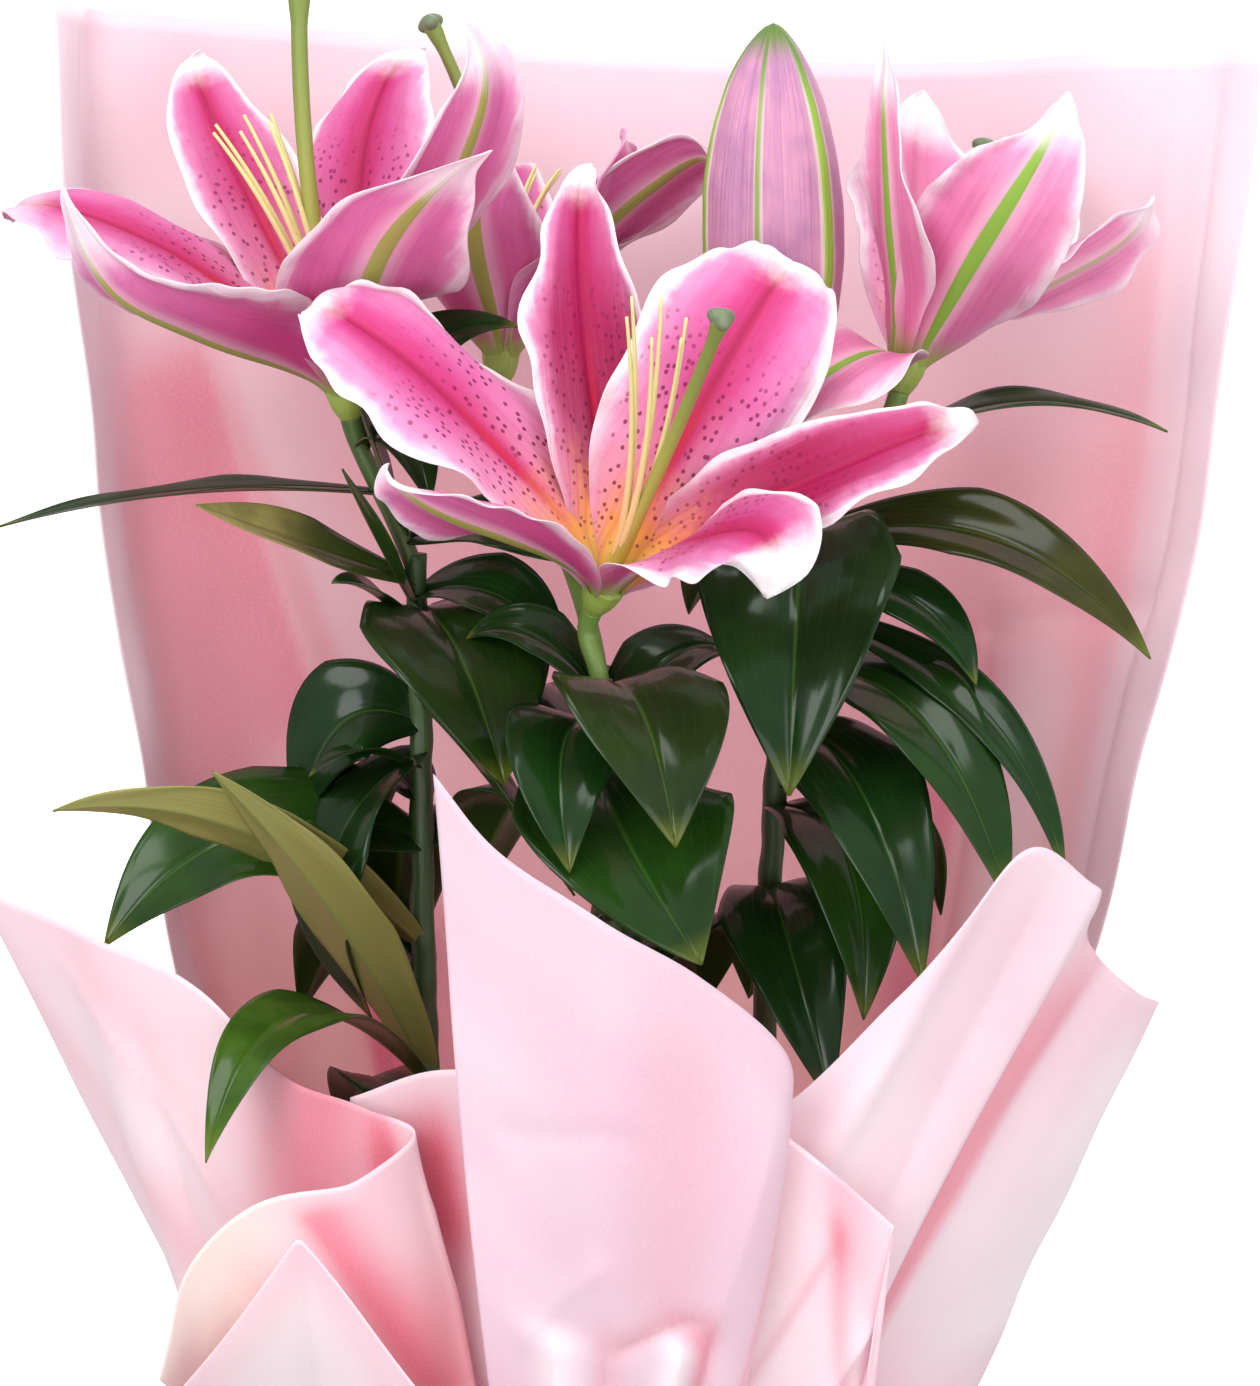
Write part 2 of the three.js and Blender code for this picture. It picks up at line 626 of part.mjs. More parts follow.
// A closed bud: its outer tepals meet in three ribs.
function budSolid({ base, tip, radius }) {
  const foot = vec(base);
  const length = vec(tip).distanceTo(foot);
  const axis = vec(tip).sub(foot).normalize();
  const side = new THREE.Vector3(1, 0, 0).addScaledVector(axis, -axis.x).normalize();
  const other = axis.clone().cross(side);
  const rings = BUD_LEVELS.map((t) =>
    Array.from({ length: BUD_SIDES }, (_, j) => {
      const turn = radians(BUD_TURN - 90) + (2 * Math.PI * j) / BUD_SIDES;
      const r = radius * budShare(t) * (1 + BUD_RIB * Math.cos(3 * (turn - radians(BUD_TURN - 90))));
      return foot
        .clone()
        .addScaledVector(axis, length * t)
        .addScaledVector(side, r * Math.cos(turn))
        .addScaledVector(other, r * Math.sin(turn));
    }),
  );
  return solid(loft(rings));
}

// The route of a pedicel from its stem to the foot of its bloom or bud. It meets that foot along
// the bloom's axis.
const PEDICEL_BEND = 14;

function pedicelRoute(start, mid, bloom, gap) {
  const base = vec((BLOOMS[bloom] ?? BUD).base);
  const axis = BLOOMS[bloom] ? vec(BLOOMS[bloom].axis) : vec(BUD.tip).sub(base);
  axis.normalize();
  const under = base.addScaledVector(axis, -(BLOOMS[bloom] ? CUP_LOW : 0) - gap);
  const bend = under.clone().addScaledVector(axis, -PEDICEL_BEND);
  return new THREE.CubicBezierCurve3(start, vec(mid), bend, under);
}

function stemSolid({ path, pedicels, leaves }) {
  const curve = through(path);
  const top = path.at(-1);
  const parts = [rod(curve, (t) => mix(STEM_R, STEM_TOP_R, t), 10, 7)];
  for (const { bloom, from, mid } of pedicels) {
    const start = from ? stemPoint(curve, from) : curve.getPoint(0.985);
    parts.push(rod(pedicelRoute(start, mid, bloom, GAP), () => PEDICEL_R, 5, 7));
  }
  const higher = pedicelRoute(vec(top), pedicels[0].mid, pedicels[0].bloom, 0);
  for (const leaf of leaves) {
    const root = stemPoint(leaf.z > top[2] ? higher : curve, leaf.z);
    const [rows, columns] = leaf.width > BROAD ? [5, 4] : [4, 2];
    parts.push(blade(leafSurface({ ...leaf, root }), rows, columns, BLADE));
  }
  return largest(fuse(parts));
}

// Wrapping paper

// Stations of each sheet, from one side to the other. turn is the angle round the pot at the tie,
// from the front and positive to the right, layer counts sheets outwards from the pot, rim is a
// point of the upper edge, and flare is how far the sheet leans out above the tie. A corner is a
// station where the edge turns sharply. Folds are soft creases, each at a share of the way from
// the first station to the last. columns is the number of facets across.
const SHEETS = {
  wrap_back: {
    columns: 16,
    stations: [
      { turn: -104, layer: 0, flare: 0.36, rim: [-154, 44, 573] },
      { turn: -122, layer: 0, flare: 0.38, rim: [-134, 70, 569] },
      { turn: -148, layer: 0, flare: 0.4, rim: [-80, 106, 563] },
      { turn: -178, layer: 0, flare: 0.4, rim: [4, 118, 556] },
      { turn: -208, layer: 0, flare: 0.45, rim: [88, 112, 553] },
      { turn: -236, layer: 0, flare: 0.5, rim: [156, 82, 557] },
      { turn: -256, layer: 0, flare: 0.55, rim: [192, 44, 559] },
    ],
    folds: [
      { at: 0.14, width: 0.05, depth: 5 },
      { at: 0.3, width: 0.06, depth: -6 },
      { at: 0.8, width: 0.05, depth: -5 },
      { at: 0.9, width: 0.04, depth: 5 },
    ],
  },
  wrap_left: {
    columns: 22,
    stations: [
      { turn: -158, layer: 1, rim: [-88, 134, 236] },
      { turn: -128, layer: 1, rim: [-150, 72, 290] },
      { turn: -98, layer: 1, rim: [-171, -12, 329], corner: true },
      { turn: -76, layer: 1, rim: [-135, -42, 320] },
      { turn: -58, layer: 1, rim: [-106, -60, 307] },
      { turn: -44, layer: 1, rim: [-81, -78, 288] },
      { turn: -28, layer: 1, rim: [-62, -93, 282] },
      { turn: -12, layer: 1.4, rim: [-46, -107, 278] },
      { turn: -22, layer: 2.4, rim: [-61, -124, 269] },
      { turn: -40, layer: 2.4, rim: [-87, -131, 265] },
      { turn: -58, layer: 2.4, rim: [-104, -126, 244] },
      { turn: -76, layer: 2.4, rim: [-114, -108, 212] },
    ],
    folds: [{ at: 0.28, width: 0.03, depth: 4 }],
  },
  wrap_corner: {
    columns: 6,
    stations: [
      { turn: -64, layer: 3.4, rim: [-112, -106, 205] },
      { turn: -42, layer: 3.4, rim: [-75, -140, 257], corner: true },
      { turn: -24, layer: 3.4, rim: [-40, -128, 210] },
    ],
    folds: [],
  },
  wrap_front: {
    columns: 10,
    stations: [
      { turn: -10, layer: 4.6, flare: 0.8, rim: [-40, -122, 377], corner: true },
      { turn: -5.5, layer: 4.6, flare: 0.8, rim: [-23, -131, 358] },
      { turn: -1, layer: 4.6, flare: 0.8, rim: [3, -138, 342] },
      { turn: 5, layer: 4.6, flare: 0.8, rim: [29, -134, 326] },
      { turn: 12, layer: 4.6, flare: 0.8, rim: [51, -124, 304] },
      { turn: 17, layer: 4.6, flare: 0.8, rim: [49, -118, 282] },
    ],
    folds: [{ at: 0.45, width: 0.12, depth: 3 }],
  },
  wrap_flap: {
    columns: 6,
    stations: [
      { turn: 8, layer: 3.4, flare: 0.65, rim: [42, -109, 286] },
      { turn: 24, layer: 3.4, flare: 0.65, rim: [64, -115, 270] },
      { turn: 36, layer: 3.4, flare: 0.65, rim: [81, -113, 255], corner: true },
      { turn: 46, layer: 3.4, flare: 0.65, rim: [77, -105, 214] },
    ],
    folds: [],
  },
  wrap_right: {
    columns: 22,
    stations: [
      { turn: -34, layer: 0, flare: 0.4, rim: [-64, -82, 283] },
      { turn: -22, layer: 0, flare: 0.4, rim: [-38, -94, 293] },
      { turn: -8, layer: 1.2, flare: 0.4, rim: [0, -101, 290] },
      { turn: 2, layer: 2.4, flare: 0.4, rim: [44, -102, 281] },
      { turn: 11, layer: 2.4, flare: 0.42, rim: [82, -97, 314] },
      { turn: 21, layer: 2.4, flare: 0.45, rim: [116, -84, 350] },
      { turn: 30, layer: 2.2, flare: 0.5, rim: [138, -66, 337], corner: true },
      { turn: 26, layer: 1, flare: 0.5, rim: [134, -56, 322] },
      { turn: 42, layer: 1, flare: 0.5, rim: [150, -40, 304] },
      { turn: 72, layer: 2, flare: 0.5, rim: [158, -6, 294] },
      { turn: 116, layer: 2, flare: 0.7, rim: [146, 78, 272] },
      { turn: 152, layer: 2, flare: 0.7, rim: [86, 136, 236] },
    ],
    folds: [{ at: 0.4, width: 0.05, depth: 3 }],
  },
};
const FLARE = 0.5; // outward lean of a sheet that names none
const LEAN = 0.38; // how far up the sheet that lean carries, as a share of the sheet's length
const ROWS = 8; // rows of facets in a sheet
const TIE_ROW = 1; // the row that ends at the lower edge of the tie, and the next at its upper edge

const onPot = (turn, radius, z) =>
  new THREE.Vector3(radius * Math.sin(radians(turn)), -radius * Math.cos(radians(turn)), z);

// A value along the stations, smooth between them and sharp at a corner.
function alongStations(values, sharp, place) {
  const last = values.length - 1;
  const at = clamp(place, 0, 1) * last;
  const i = Math.min(last - 1, Math.floor(at));
  const f = at - i;
  const before = i > 0 && !sharp[i] ? values[i - 1] : 2 * values[i] - values[i + 1];
  const after = i + 1 < last && !sharp[i + 1] ? values[i + 2] : 2 * values[i + 1] - values[i];
  const [b, c] = [values[i], values[i + 1]];
  return (
    0.5 * (2 * b + (c - before) * f + (2 * before - 5 * b + 4 * c - after) * f * f +
      (3 * b - before - 3 * c + after) * f * f * f)
  );
}

function sheetSurface({ stations, folds }) {
  const sharp = stations.map(({ corner }) => Boolean(corner));
  const read = (pick) => (place) => alongStations(stations.map(pick), sharp, place);
  const turnAt = read(({ turn }) => turn);
  const layerAt = read(({ layer }) => layer);
  const flareAt = read(({ flare = FLARE }) => flare);
  const rimAt = [0, 1, 2].map((k) => read(({ rim }) => rim[k]));
  return (t, s) => {
    const place = (s + 1) / 2;
    const turn = turnAt(place);
    const offset = LAYER * layerAt(place);
    const tie = WRAP_TIE_R + offset;
    const row = ROWS * t;
    if (row < TIE_ROW) {
      return onPot(turn, mix(WRAP_FOOT_R + offset, tie, row), mix(WRAP_FOOT, TIE_LOW, row));
    }
    if (row < TIE_ROW + 1) return onPot(turn, tie, mix(TIE_LOW, TIE_HIGH, row - TIE_ROW));
    const f = (row - TIE_ROW - 1) / (ROWS - TIE_ROW - 1);
    const low = onPot(turn, tie, TIE_HIGH);
    const rim = new THREE.Vector3(...rimAt.map((value) => value(place)));
    const reach = LEAN * rim.distanceTo(low);
    const control = onPot(turn, tie + flareAt(place) * reach, TIE_HIGH + reach);
    const crease = folds.reduce(
      (sum, { at, width, depth }) => sum + depth * Math.exp(-Math.pow((place - at) / width, 2)),
      0,
    );
    return new THREE.QuadraticBezierCurve3(low, control, rim)
      .getPoint(f)
      .add(onPot(turn, crease * Math.sin((Math.PI / 2) * Math.min(1, 1.6 * f)), 0));
  };
}

function ribbonSolid() {
  const inner = WRAP_TIE_R + TOP_LAYER * LAYER + PAPER / 2 + 2 * GAP;
  const outer = inner + RIBBON;
  const low = TIE_LOW + RIBBON;
  const high = TIE_HIGH - RIBBON;
  return turned(
    [
      [inner, low],
      [outer, low],
      [outer, high],
      [inner, high],
      [inner, low],
    ],
    RIBBON_SIDES,
  );
}

// The whole object

const feet = Object.values(STEMS).map(({ path }) => path[0]);
place("pot", potSolid(), COLOURS.pot, 0.5);
place("soil", soilSolid(feet), COLOURS.soil, 0.95);
Object.entries(STEMS).forEach(([name, stem], i) => {
  place("bulb_" + name, bulbSolid(feet[i], 0), COLOURS.bulb, 0.6);
  place("stem_" + name, stemSolid(stem), COLOURS.green, 0.4);
});
for (const [name, bloom] of Object.entries(BLOOMS)) {
  place("bloom_" + name, bloomSolid(bloom), COLOURS.tepal, 0.5);
  place("heart_" + name, heartSolid(bloom), COLOURS.heart, 0.5);
}
place("bud", budSolid(BUD), COLOURS.bud, 0.5);
for (const [name, sheet] of Object.entries(SHEETS)) {
  place(name, blade(sheetSurface(sheet), ROWS, sheet.columns, PAPER), COLOURS.paper, 0.7);
}
place("ribbon", ribbonSolid(), COLOURS.ribbon, 0.4);

export default group;
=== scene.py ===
import math

import bpy
import numpy as np
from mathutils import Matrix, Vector


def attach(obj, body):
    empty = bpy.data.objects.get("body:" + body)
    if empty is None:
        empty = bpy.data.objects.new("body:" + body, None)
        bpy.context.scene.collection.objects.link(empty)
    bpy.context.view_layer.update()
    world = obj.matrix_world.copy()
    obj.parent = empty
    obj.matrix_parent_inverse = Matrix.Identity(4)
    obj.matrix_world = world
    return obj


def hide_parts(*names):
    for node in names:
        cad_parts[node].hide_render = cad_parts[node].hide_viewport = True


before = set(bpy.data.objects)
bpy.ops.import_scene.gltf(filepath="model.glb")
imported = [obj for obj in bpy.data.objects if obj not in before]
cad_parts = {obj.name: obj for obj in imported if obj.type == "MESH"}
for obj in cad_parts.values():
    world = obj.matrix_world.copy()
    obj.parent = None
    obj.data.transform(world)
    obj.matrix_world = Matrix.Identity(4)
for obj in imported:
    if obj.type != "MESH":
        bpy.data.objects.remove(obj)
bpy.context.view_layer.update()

# A potted pink lily in florist's paper. Lengths are in millimetres until a mesh is made.
# The origin is the middle of the pot's base, +Z is up and the front is -Y.

MM = 0.001
TAU = 2 * math.pi

# Dimensions of the solids that the pieces stand for
GAP = 0.3
POT_HEIGHT = 125
POT_BASE_R = 54
POT_RIM_R = 74.9
POT_LIP_HEIGHT = 12
POT_LIP_STEP = 2.4
POT_WALL = 2
DRAIN_R = 4
DRAIN_RING_R = 34
DRAIN_HOLES = 6
SOIL_TOP = 113
STEM_R = 4.4
STEM_TOP_R = 3
PEDICEL_R = 2.6
PEDICEL_BEND = 14
TIE_LOW = 112
TIE_HIGH = 124
WRAP_FOOT = 1.5
WRAP_FOOT_R = 61
WRAP_TIE_R = POT_RIM_R + 2 * GAP + 0.4
LAYER = 1.6
RIBBON_R = WRAP_TIE_R + 4.6 * LAYER + 1
CUP_LOW = 6
CUP_HIGH = 4
CUP_R = 5.6
CUP_MIDDLE_R = 4.4
RISE = 0.2
FLARE = 0.5
LEAN = 0.38
ROWS = 8
OUTER = dict(widest=0.52, point=1.6, taper=1.1, ring=4.4, cup=0.22, ruffle=0.8)
INNER = dict(widest=0.56, point=2, taper=0.8, ring=3.2, cup=0.14, ruffle=2.6)
STYLE_FOOT_R = 2.5
STYLE_R = 1.8
BUD_WIDEST = 0.5
BUD_FOOT = 0.2
BUD_RIB = 0.07
BUD_TURN = 41

# Grids of points, and sizes that all pieces of a kind share
LEAF_GRID = (44, 19)
LEAF_WIDEST = 0.42
LEAF_CUP = 0.22
LEAF_RIBS = (0.3, 0.55, 0.8)
TEPAL_GRID = (64, 37)
TEPAL_SPREAD = math.pi / 2 * 0.92
TEPAL_RIBS = (0.22, 0.36, 0.5, 0.64, 0.78)
BUD_GRID = (100, 108)
SHEET_ROWS = 130
SHEET_LOW_ROWS = 26
SHEET_COLUMNS = (60, 180)
SHEET_PITCH = 1.6
SHEET_THICK = 0.45
STEM_STEPS = 400
WAVES = 7
SOIL_EDGE_Z = SOIL_TOP - 3
POT_LIP_Z = POT_HEIGHT - POT_LIP_HEIGHT
POT_SLOPE = (POT_RIM_R - POT_LIP_STEP - POT_BASE_R) / POT_LIP_Z
POT_SHOULDER_R = POT_BASE_R + POT_SLOPE * POT_LIP_Z


# Rows of the tables


def leaf(z, mid, tip, width, **more):
    """A leaf that leaves its stem at height z, with the middle and tip of its midrib."""
    return dict(z=z, mid=mid, tip=tip, width=width, **more)


def tepal(mid, tip, width, **more):
    return dict(mid=mid, tip=tip, width=width, **more)


def mark(x0, y0, x1, y1, depth, width, **more):
    """A crease, or a line of painted shade or painted highlight, on a sheet, between two places given as
    shares of its width and height.
    """
    return dict(start=(x0, y0), end=(x1, y1), depth=depth, width=width, **more)


def station(turn, layer, rim, **more):
    """A place round the pot, in degrees from the front, and the point of the rim above it."""
    return dict(turn=turn, layer=layer, rim=rim, **more)


# Stems: path from the bulb up, pedicels to blooms, and leaves with the height z that each leaves at
STEMS = {}
STEMS["left"] = dict(
    young=0.2,
    path=[[-33, 10, 84.3], [-33, 10, 118], [-43, 7, 200], [-47, 5, 290], [-48, 4, 380], [-49, 2, 420]],
    pedicels=[dict(bloom="left", mid=[-58, 1, 440])],
    leaves=[
        leaf(437, [-111, -4, 438], [-164, -10, 429], 18, face=6, tone=0.42),
        leaf(412, [-80, -20, 426], [-107, -38, 438], 20, face=40, tone=0.06),
        leaf(404, [-60, -12, 428], [-68, -20, 446], 18, face=30),
        leaf(396, [-60, -14, 411], [-71, -24, 415], 16, face=20),
        leaf(404, [-36, -34, 397], [-23, -58, 364], 58, tone=0.45),
        leaf(372, [-70, 2, 372], [-82, 8, 342], 38, face=50),
        leaf(358, [-64, -10, 366], [-78, -18, 360], 14),
        leaf(338, [-96, -10, 343], [-135, -22, 313], 44, face=42, tone=0.68),
        leaf(308, [-96, -34, 348], [-147, -40, 354], 24, face=-46, tone=0.05),
        leaf(271, [-71, -30, 324], [-103, -46, 366], 28, face=-20, tone=0.08),
        leaf(268, [-80, -60, 301], [-101, -108, 271], 26, face=12, tone=0.78),
        leaf(408, [-27, -8, 410], [-7, -14, 394], 32, face=24),
        leaf(378, [-30, -30, 364], [-4, -54, 333], 26, roll=-35),
        leaf(448, [-46, 14, 476], [-20, 8, 483], 24, face=30),
        leaf(424, [-20, -8, 428], [6, -14, 414], 30, face=30),
        leaf(450, [-52, -12, 454], [-44, -20, 436], 20, face=20),
        leaf(426, [-58, -12, 446], [-65, -16, 468], 18, face=50),
        leaf(364, [-72, -13, 334], [-62, 2, 288], 40, face=24, tone=0.5),
        leaf(350, [-68, 24, 350], [-76, 38, 296], 48),
        leaf(336, [-54, 34, 336], [-58, 50, 280], 46),
        leaf(300, [-68, 42, 308], [-86, 66, 276], 34),
        leaf(246, [-62, 42, 262], [-74, 74, 240], 30),
    ],
)
STEMS["centre"] = dict(
    path=[[4, -27, 84.3], [4, -27, 118], [6, -30, 220], [5, -34, 320], [3, -38, 390]],
    pedicels=[
        dict(bloom="centre", mid=[3, -41, 399]),
        dict(bloom="back", start=384, mid=[0, 4, 420]),
    ],
    leaves=[
        leaf(387, [14, -70, 386], [23, -94, 353], 52, tone=0.43),
        leaf(376, [-7, -68, 376], [-5, -93, 346], 36, roll=-12),
        leaf(364, [10, -70, 351], [30, -92, 321], 66, roll=6, tone=0.58),
        leaf(384, [-16, -34, 402], [-34, -30, 400], 26, face=20),
        leaf(372, [22, -24, 394], [40, -8, 393], 28, face=20),
        leaf(338, [-18, 0, 352], [-34, 22, 314], 48),
        leaf(322, [-14, -58, 318], [-20, -80, 288], 38),
        leaf(300, [23, -2, 316], [31, 22, 286], 48),
        leaf(366, [-10, 4, 382], [-30, 28, 364], 40),
    ],
)
STEMS["right"] = dict(
    path=[[38, 14, 84.3], [38, 14, 118], [46, 16, 200], [50, 15, 300], [54, 13, 380], [61, 12, 428]],
    pedicels=[
        dict(bloom="right", mid=[74, 13, 448]),
        dict(bloom="bud", start=414, mid=[57, 20, 432]),
    ],
    leaves=[
        leaf(426, [57, -34, 414], [54, -58, 361], 60, roll=3),
        leaf(422, [112, -4, 425], [155, -18, 393], 30, face=34, tone=0.25),
        leaf(402, [106, -14, 380], [130, -42, 336], 20, face=22),
        leaf(384, [90, -20, 378], [114, -50, 330], 38, roll=14, tone=0.55),
        leaf(368, [74, -30, 359], [90, -66, 311], 38, roll=12),
        leaf(346, [71, -18, 338], [75, -46, 297], 36, roll=5, tone=0.6),
        leaf(322, [54, -26, 318], [66, -60, 276], 38, roll=6),
        leaf(440, [114, 4, 461], [160, -6, 455], 22, face=8),
        leaf(352, [82, 30, 346], [101, 44, 310], 36),
        leaf(392, [58, 44, 398], [62, 72, 372], 34),
        leaf(300, [50, 46, 306], [46, 72, 280], 34),
        leaf(404, [40, 36, 414], [28, 58, 396], 28),
        leaf(412, [90, -4, 407], [107, -14, 385], 22, face=30),
    ],
)

BLOOMS = {}
BLOOMS["centre"] = dict(
    base=[3, -42, 414],
    axis=[0.34, -0.55, 0.76],
    tepals=[
        tepal([-35, -57, 467], [-76, -44, 490], 56, taper=1.15, deep=0.15),
        tepal([0, -34, 480], [1, -8, 530], 42, outer=True, point=1, taper=1.2, deep=0.9),
        tepal([32, -49, 469], [57, -18, 503], 55, deep=0.2),
        tepal([55, -74, 448], [106, -56, 463], 37, outer=True, deep=1),
        tepal([32, -88, 436], [46, -114, 421], 44, roll=30, deep=0.5),
        tepal([-25, -84, 436], [-53, -94, 455], 42, outer=True, roll=58, deep=0.8),
    ],
    style=[35, -95, 493],
    stamens=[18, -78, 492],
    gather=9,
)
BLOOMS["left"] = dict(
    base=[-68, 0, 464],
    axis=[-0.2, -0.2, 0.95],
    tepals=[
        tepal([-106, -31, 483], [-140, -42, 524], 58, outer=True, roll=16, cup=0.55, deep=0.9),
        tepal([-114, 2, 503], [-164, 12, 514], 48, snow=0.4),
        tepal([-96, 27, 519], [-111, 48, 557], 34, outer=True, deep=0.5),
        tepal([-66, 28, 521], [-47, 46, 559], 50, point=1.5, taper=1.2),
        tepal([-42, -8, 516], [-36, -4, 566], 50, outer=True, roll=-52, widest=0.6, taper=0.8, deep=0.6),
        tepal([-60, -30, 499], [-27, -42, 535], 60, outer=True, roll=-42),
    ],
    style=[-80, 0, 576],
    girth=2.3,
    stamens=[-96, -2, 540],
    gather=9,
)
BLOOMS["back"] = dict(
    base=[-26, 45, 470],
    stigma=0.35,
    axis=[0.05, 0.2, 0.97],
    tepals=[
        tepal([-32, 25, 502], [-22, 19, 532], 46, outer=True),
        tepal([-2, 42, 506], [8, 42, 532], 42, snow=0.2, cup=0.1, roll=8),
        tepal([9, 42, 514], [36, 34, 516], 40, outer=True, roll=-20),
        tepal([4, 72, 506], [26, 88, 520], 46),
        tepal([-26, 76, 506], [-22, 98, 522], 32, outer=True),
        tepal([-46, 64, 506], [-56, 84, 518], 46),
    ],
    style=[-46, 58, 566],
    stamens=[-16, 62, 524],
    gather=8,
)
BLOOMS["right"] = dict(
    base=[88, 14, 470],
    young=1,
    axis=[0.25, 0.05, 0.96],
    tepals=[
        tepal([83, -5, 513], [83, 5, 562], 43, outer=True, roll=-8),
        tepal([108, -17, 508], [131, -13, 547], 46, outer=True, roll=-40),
        tepal([126, 13, 494], [156, 20, 518], 36, roll=-35),
        tepal([116, 44, 502], [126, 60, 534], 40, outer=True),
        tepal([92, 42, 506], [95, 60, 546], 40),
        tepal([71, -13, 475], [48, -28, 452], 42, outer=True, flip=True),
    ],
    style=[111, 26, 532],
    stamens=[108, 24, 518],
    gather=4,
)

BUD = dict(base=[54, 28, 450], tip=[51, 20, 567], radius=19.5)

# On each sheet, the lines listed after the creases paint shade along folds and under edges where their depth
# is positive, and a highlight where it is negative.
SHEETS = {}
SHEETS["wrap_back"] = dict(
    strips=1,
    faint=0.2,
    creases=[
        mark(0.3, 0.6, 0.215, 0.82, -4, 16),
        mark(0.3, 0.6, 0.4, 0.42, -3.5, 16),
        mark(0.79, 0.36, 0.78, 0.66, 6, 8),
        mark(0.78, 0.66, 0.93, 0.68, 3, 6),
        mark(0.12, 0.4, 0.09, 0.95, 3, 4),
        mark(0.92, 0.4, 0.93, 0.95, 3, 4),
    ],
    painted_shading=[
        mark(0.29, 0.58, 0.21, 0.82, 0.55, 2.5, left=16, fade=0.06),
        mark(0.36, 0.55, 0.24, 0.82, -0.3, 16, left=3),
        mark(0.2, 0.5, 0.165, 0.8, 0.35, 14, left=12, fade=0.04),
        mark(0.5, 0.8, 0.5, 1.1, 0.13, 95),
        mark(0.34, 0.2, 0.31, 0.46, 1, 24, left=4, fade=0.06),
        mark(0.77, 0.36, 0.765, 0.66, 0.75, 3, left=12, fade=0.06),
        mark(0.85, 0.3, 0.84, 0.64, -0.5, 14),
        mark(0.9, 0.5, 0.87, 0.92, 0.3, 2.5, left=12),
    ],
    stations=[
        station(-104, 0, [-154, 44, 573], flare=0.36),
        station(-122, 0, [-134, 70, 569], flare=0.38),
        station(-148, 0, [-80, 106, 563], flare=0.4),
        station(-178, 0, [4, 118, 556], flare=0.4),
        station(-208, 0, [88, 112, 553], flare=0.45),
        station(-236, 0, [156, 82, 557], flare=0.5),
        station(-256, 0, [192, 44, 559], flare=0.55),
    ],
    folds=[
        dict(at=0.14, width=0.05, depth=5),
        dict(at=0.3, width=0.06, depth=-6),
        dict(at=0.8, width=0.05, depth=-5),
        dict(at=0.9, width=0.04, depth=5),
    ],
)
SHEETS["wrap_left"] = dict(
    blush=0.15,
    cream=1,
    creases=[
        mark(0.34, 0.2, 0.3, 0.9, 2.5, 4),
        mark(0.36, 0.72, 0.24, 0.95, -1.6, 5),
        mark(0.66, 0.5, 0.64, 0.95, 2, 3),
    ],
    painted_shading=[
        mark(0.45, 0.62, 0.49, 1.02, 0.84, 34, left=26, fade=0.06),
        mark(0.7, 0.6, 0.777, 0.97, 0.85, 5, left=15, fade=0.06),
        mark(0.37, 0.72, 0.26, 0.97, 0.15, 9),
        mark(0.33, 0.55, 0.16, 0.9, 0.15, 9),
        mark(0.34, 0.65, 0.2, 0.97, -0.2, 9),
        mark(0.6, 0.5, 0.57, 0.99, 0.8, 6, left=9),
        mark(0.78, 0.5, 0.86, 0.95, 0.4, 5),
    ],
    stations=[
        station(-158, 1, [-88, 134, 236]),
        station(-128, 1, [-150, 72, 290]),
        station(-98, 1, [-171, -12, 329], corner=True),
        station(-76, 1, [-135, -42, 320]),
        station(-58, 1, [-106, -60, 307]),
        station(-44, 1, [-81, -78, 288]),
        station(-28, 1, [-62, -93, 282]),
        station(-12, 1.4, [-46, -107, 278]),
        station(-22, 2.4, [-61, -124, 269]),
        station(-40, 2.4, [-87, -131, 265]),
        station(-58, 2.4, [-104, -126, 244]),
        station(-76, 2.4, [-114, -108, 212]),
    ],
    folds=[dict(at=0.28, width=0.03, depth=4)],
)
SHEETS["wrap_corner"] = dict(
    blush=0,
    creases=[mark(0.45, 0.3, 0.5, 0.95, 1.5, 5)],
    painted_shading=[
        mark(0.9, 0.3, 0.95, 0.95, 0.25, 5),
        mark(0.4, 0.4, 0.4, 0.9, -0.9, 26),
    ],
    stations=[
        station(-64, 3.4, [-112, -106, 205]),
        station(-42, 3.4, [-75, -140, 257], corner=True),
        station(-24, 3.4, [-40, -128, 210]),
    ],
)
SHEETS["wrap_front"] = dict(
    flare=0.8,
    lilac=0.9,
    creases=[
        mark(0.72, 0.5, 0.8, 0.9, -2.4, 7),
        mark(0.15, 0.72, 0.5, 0.8, 1.2, 4),
        mark(0.18, 0.5, 0.45, 0.64, -1.4, 3),
        mark(0.5, 0.1, 0.47, 0.55, 2, 4),
        mark(0.62, 0.08, 0.665, 0.585, -5, 4, fade=0.06),
        mark(0.72, 0.08, 0.755, 0.62, 2.5, 3, fade=0.06),
        mark(0.37, 0.08, 0.305, 0.53, -3.5, 7, fade=0.05),
        mark(0.5, 0.53, 0.7, 0.62, 2, 2, fade=0.2),
    ],
    painted_shading=[
        mark(0.64, 0.58, 0.6, 0.95, 0.2, 7, left=11),
        mark(0.5, 0.1, 0.47, 0.56, 0.25, 5, fade=0.08),
        mark(0.71, 0.1, 0.742, 0.63, 0.62, 2.4, left=3.4, fade=0.07),
        mark(0.62, 0.1, 0.665, 0.585, -0.9, 3, fade=0.03),
        mark(0.36, 0.1, 0.305, 0.535, -0.7, 6, fade=0.03),
        mark(0.52, 0.535, 0.69, 0.622, 0.32, 1.4, left=4, fade=0.25),
        mark(0.97, 0.5, 0.95, 0.92, 0.35, 3),
    ],
    stations=[
        station(-10, 4.6, [-40, -122, 377], corner=True),
        station(-5.5, 4.6, [-23, -131, 358]),
        station(-1, 4.6, [3, -138, 342]),
        station(5, 4.6, [29, -134, 326]),
        station(12, 4.6, [51, -124, 304]),
        station(17, 4.6, [49, -118, 282]),
    ],
    folds=[dict(at=0.45, width=0.12, depth=3)],
)
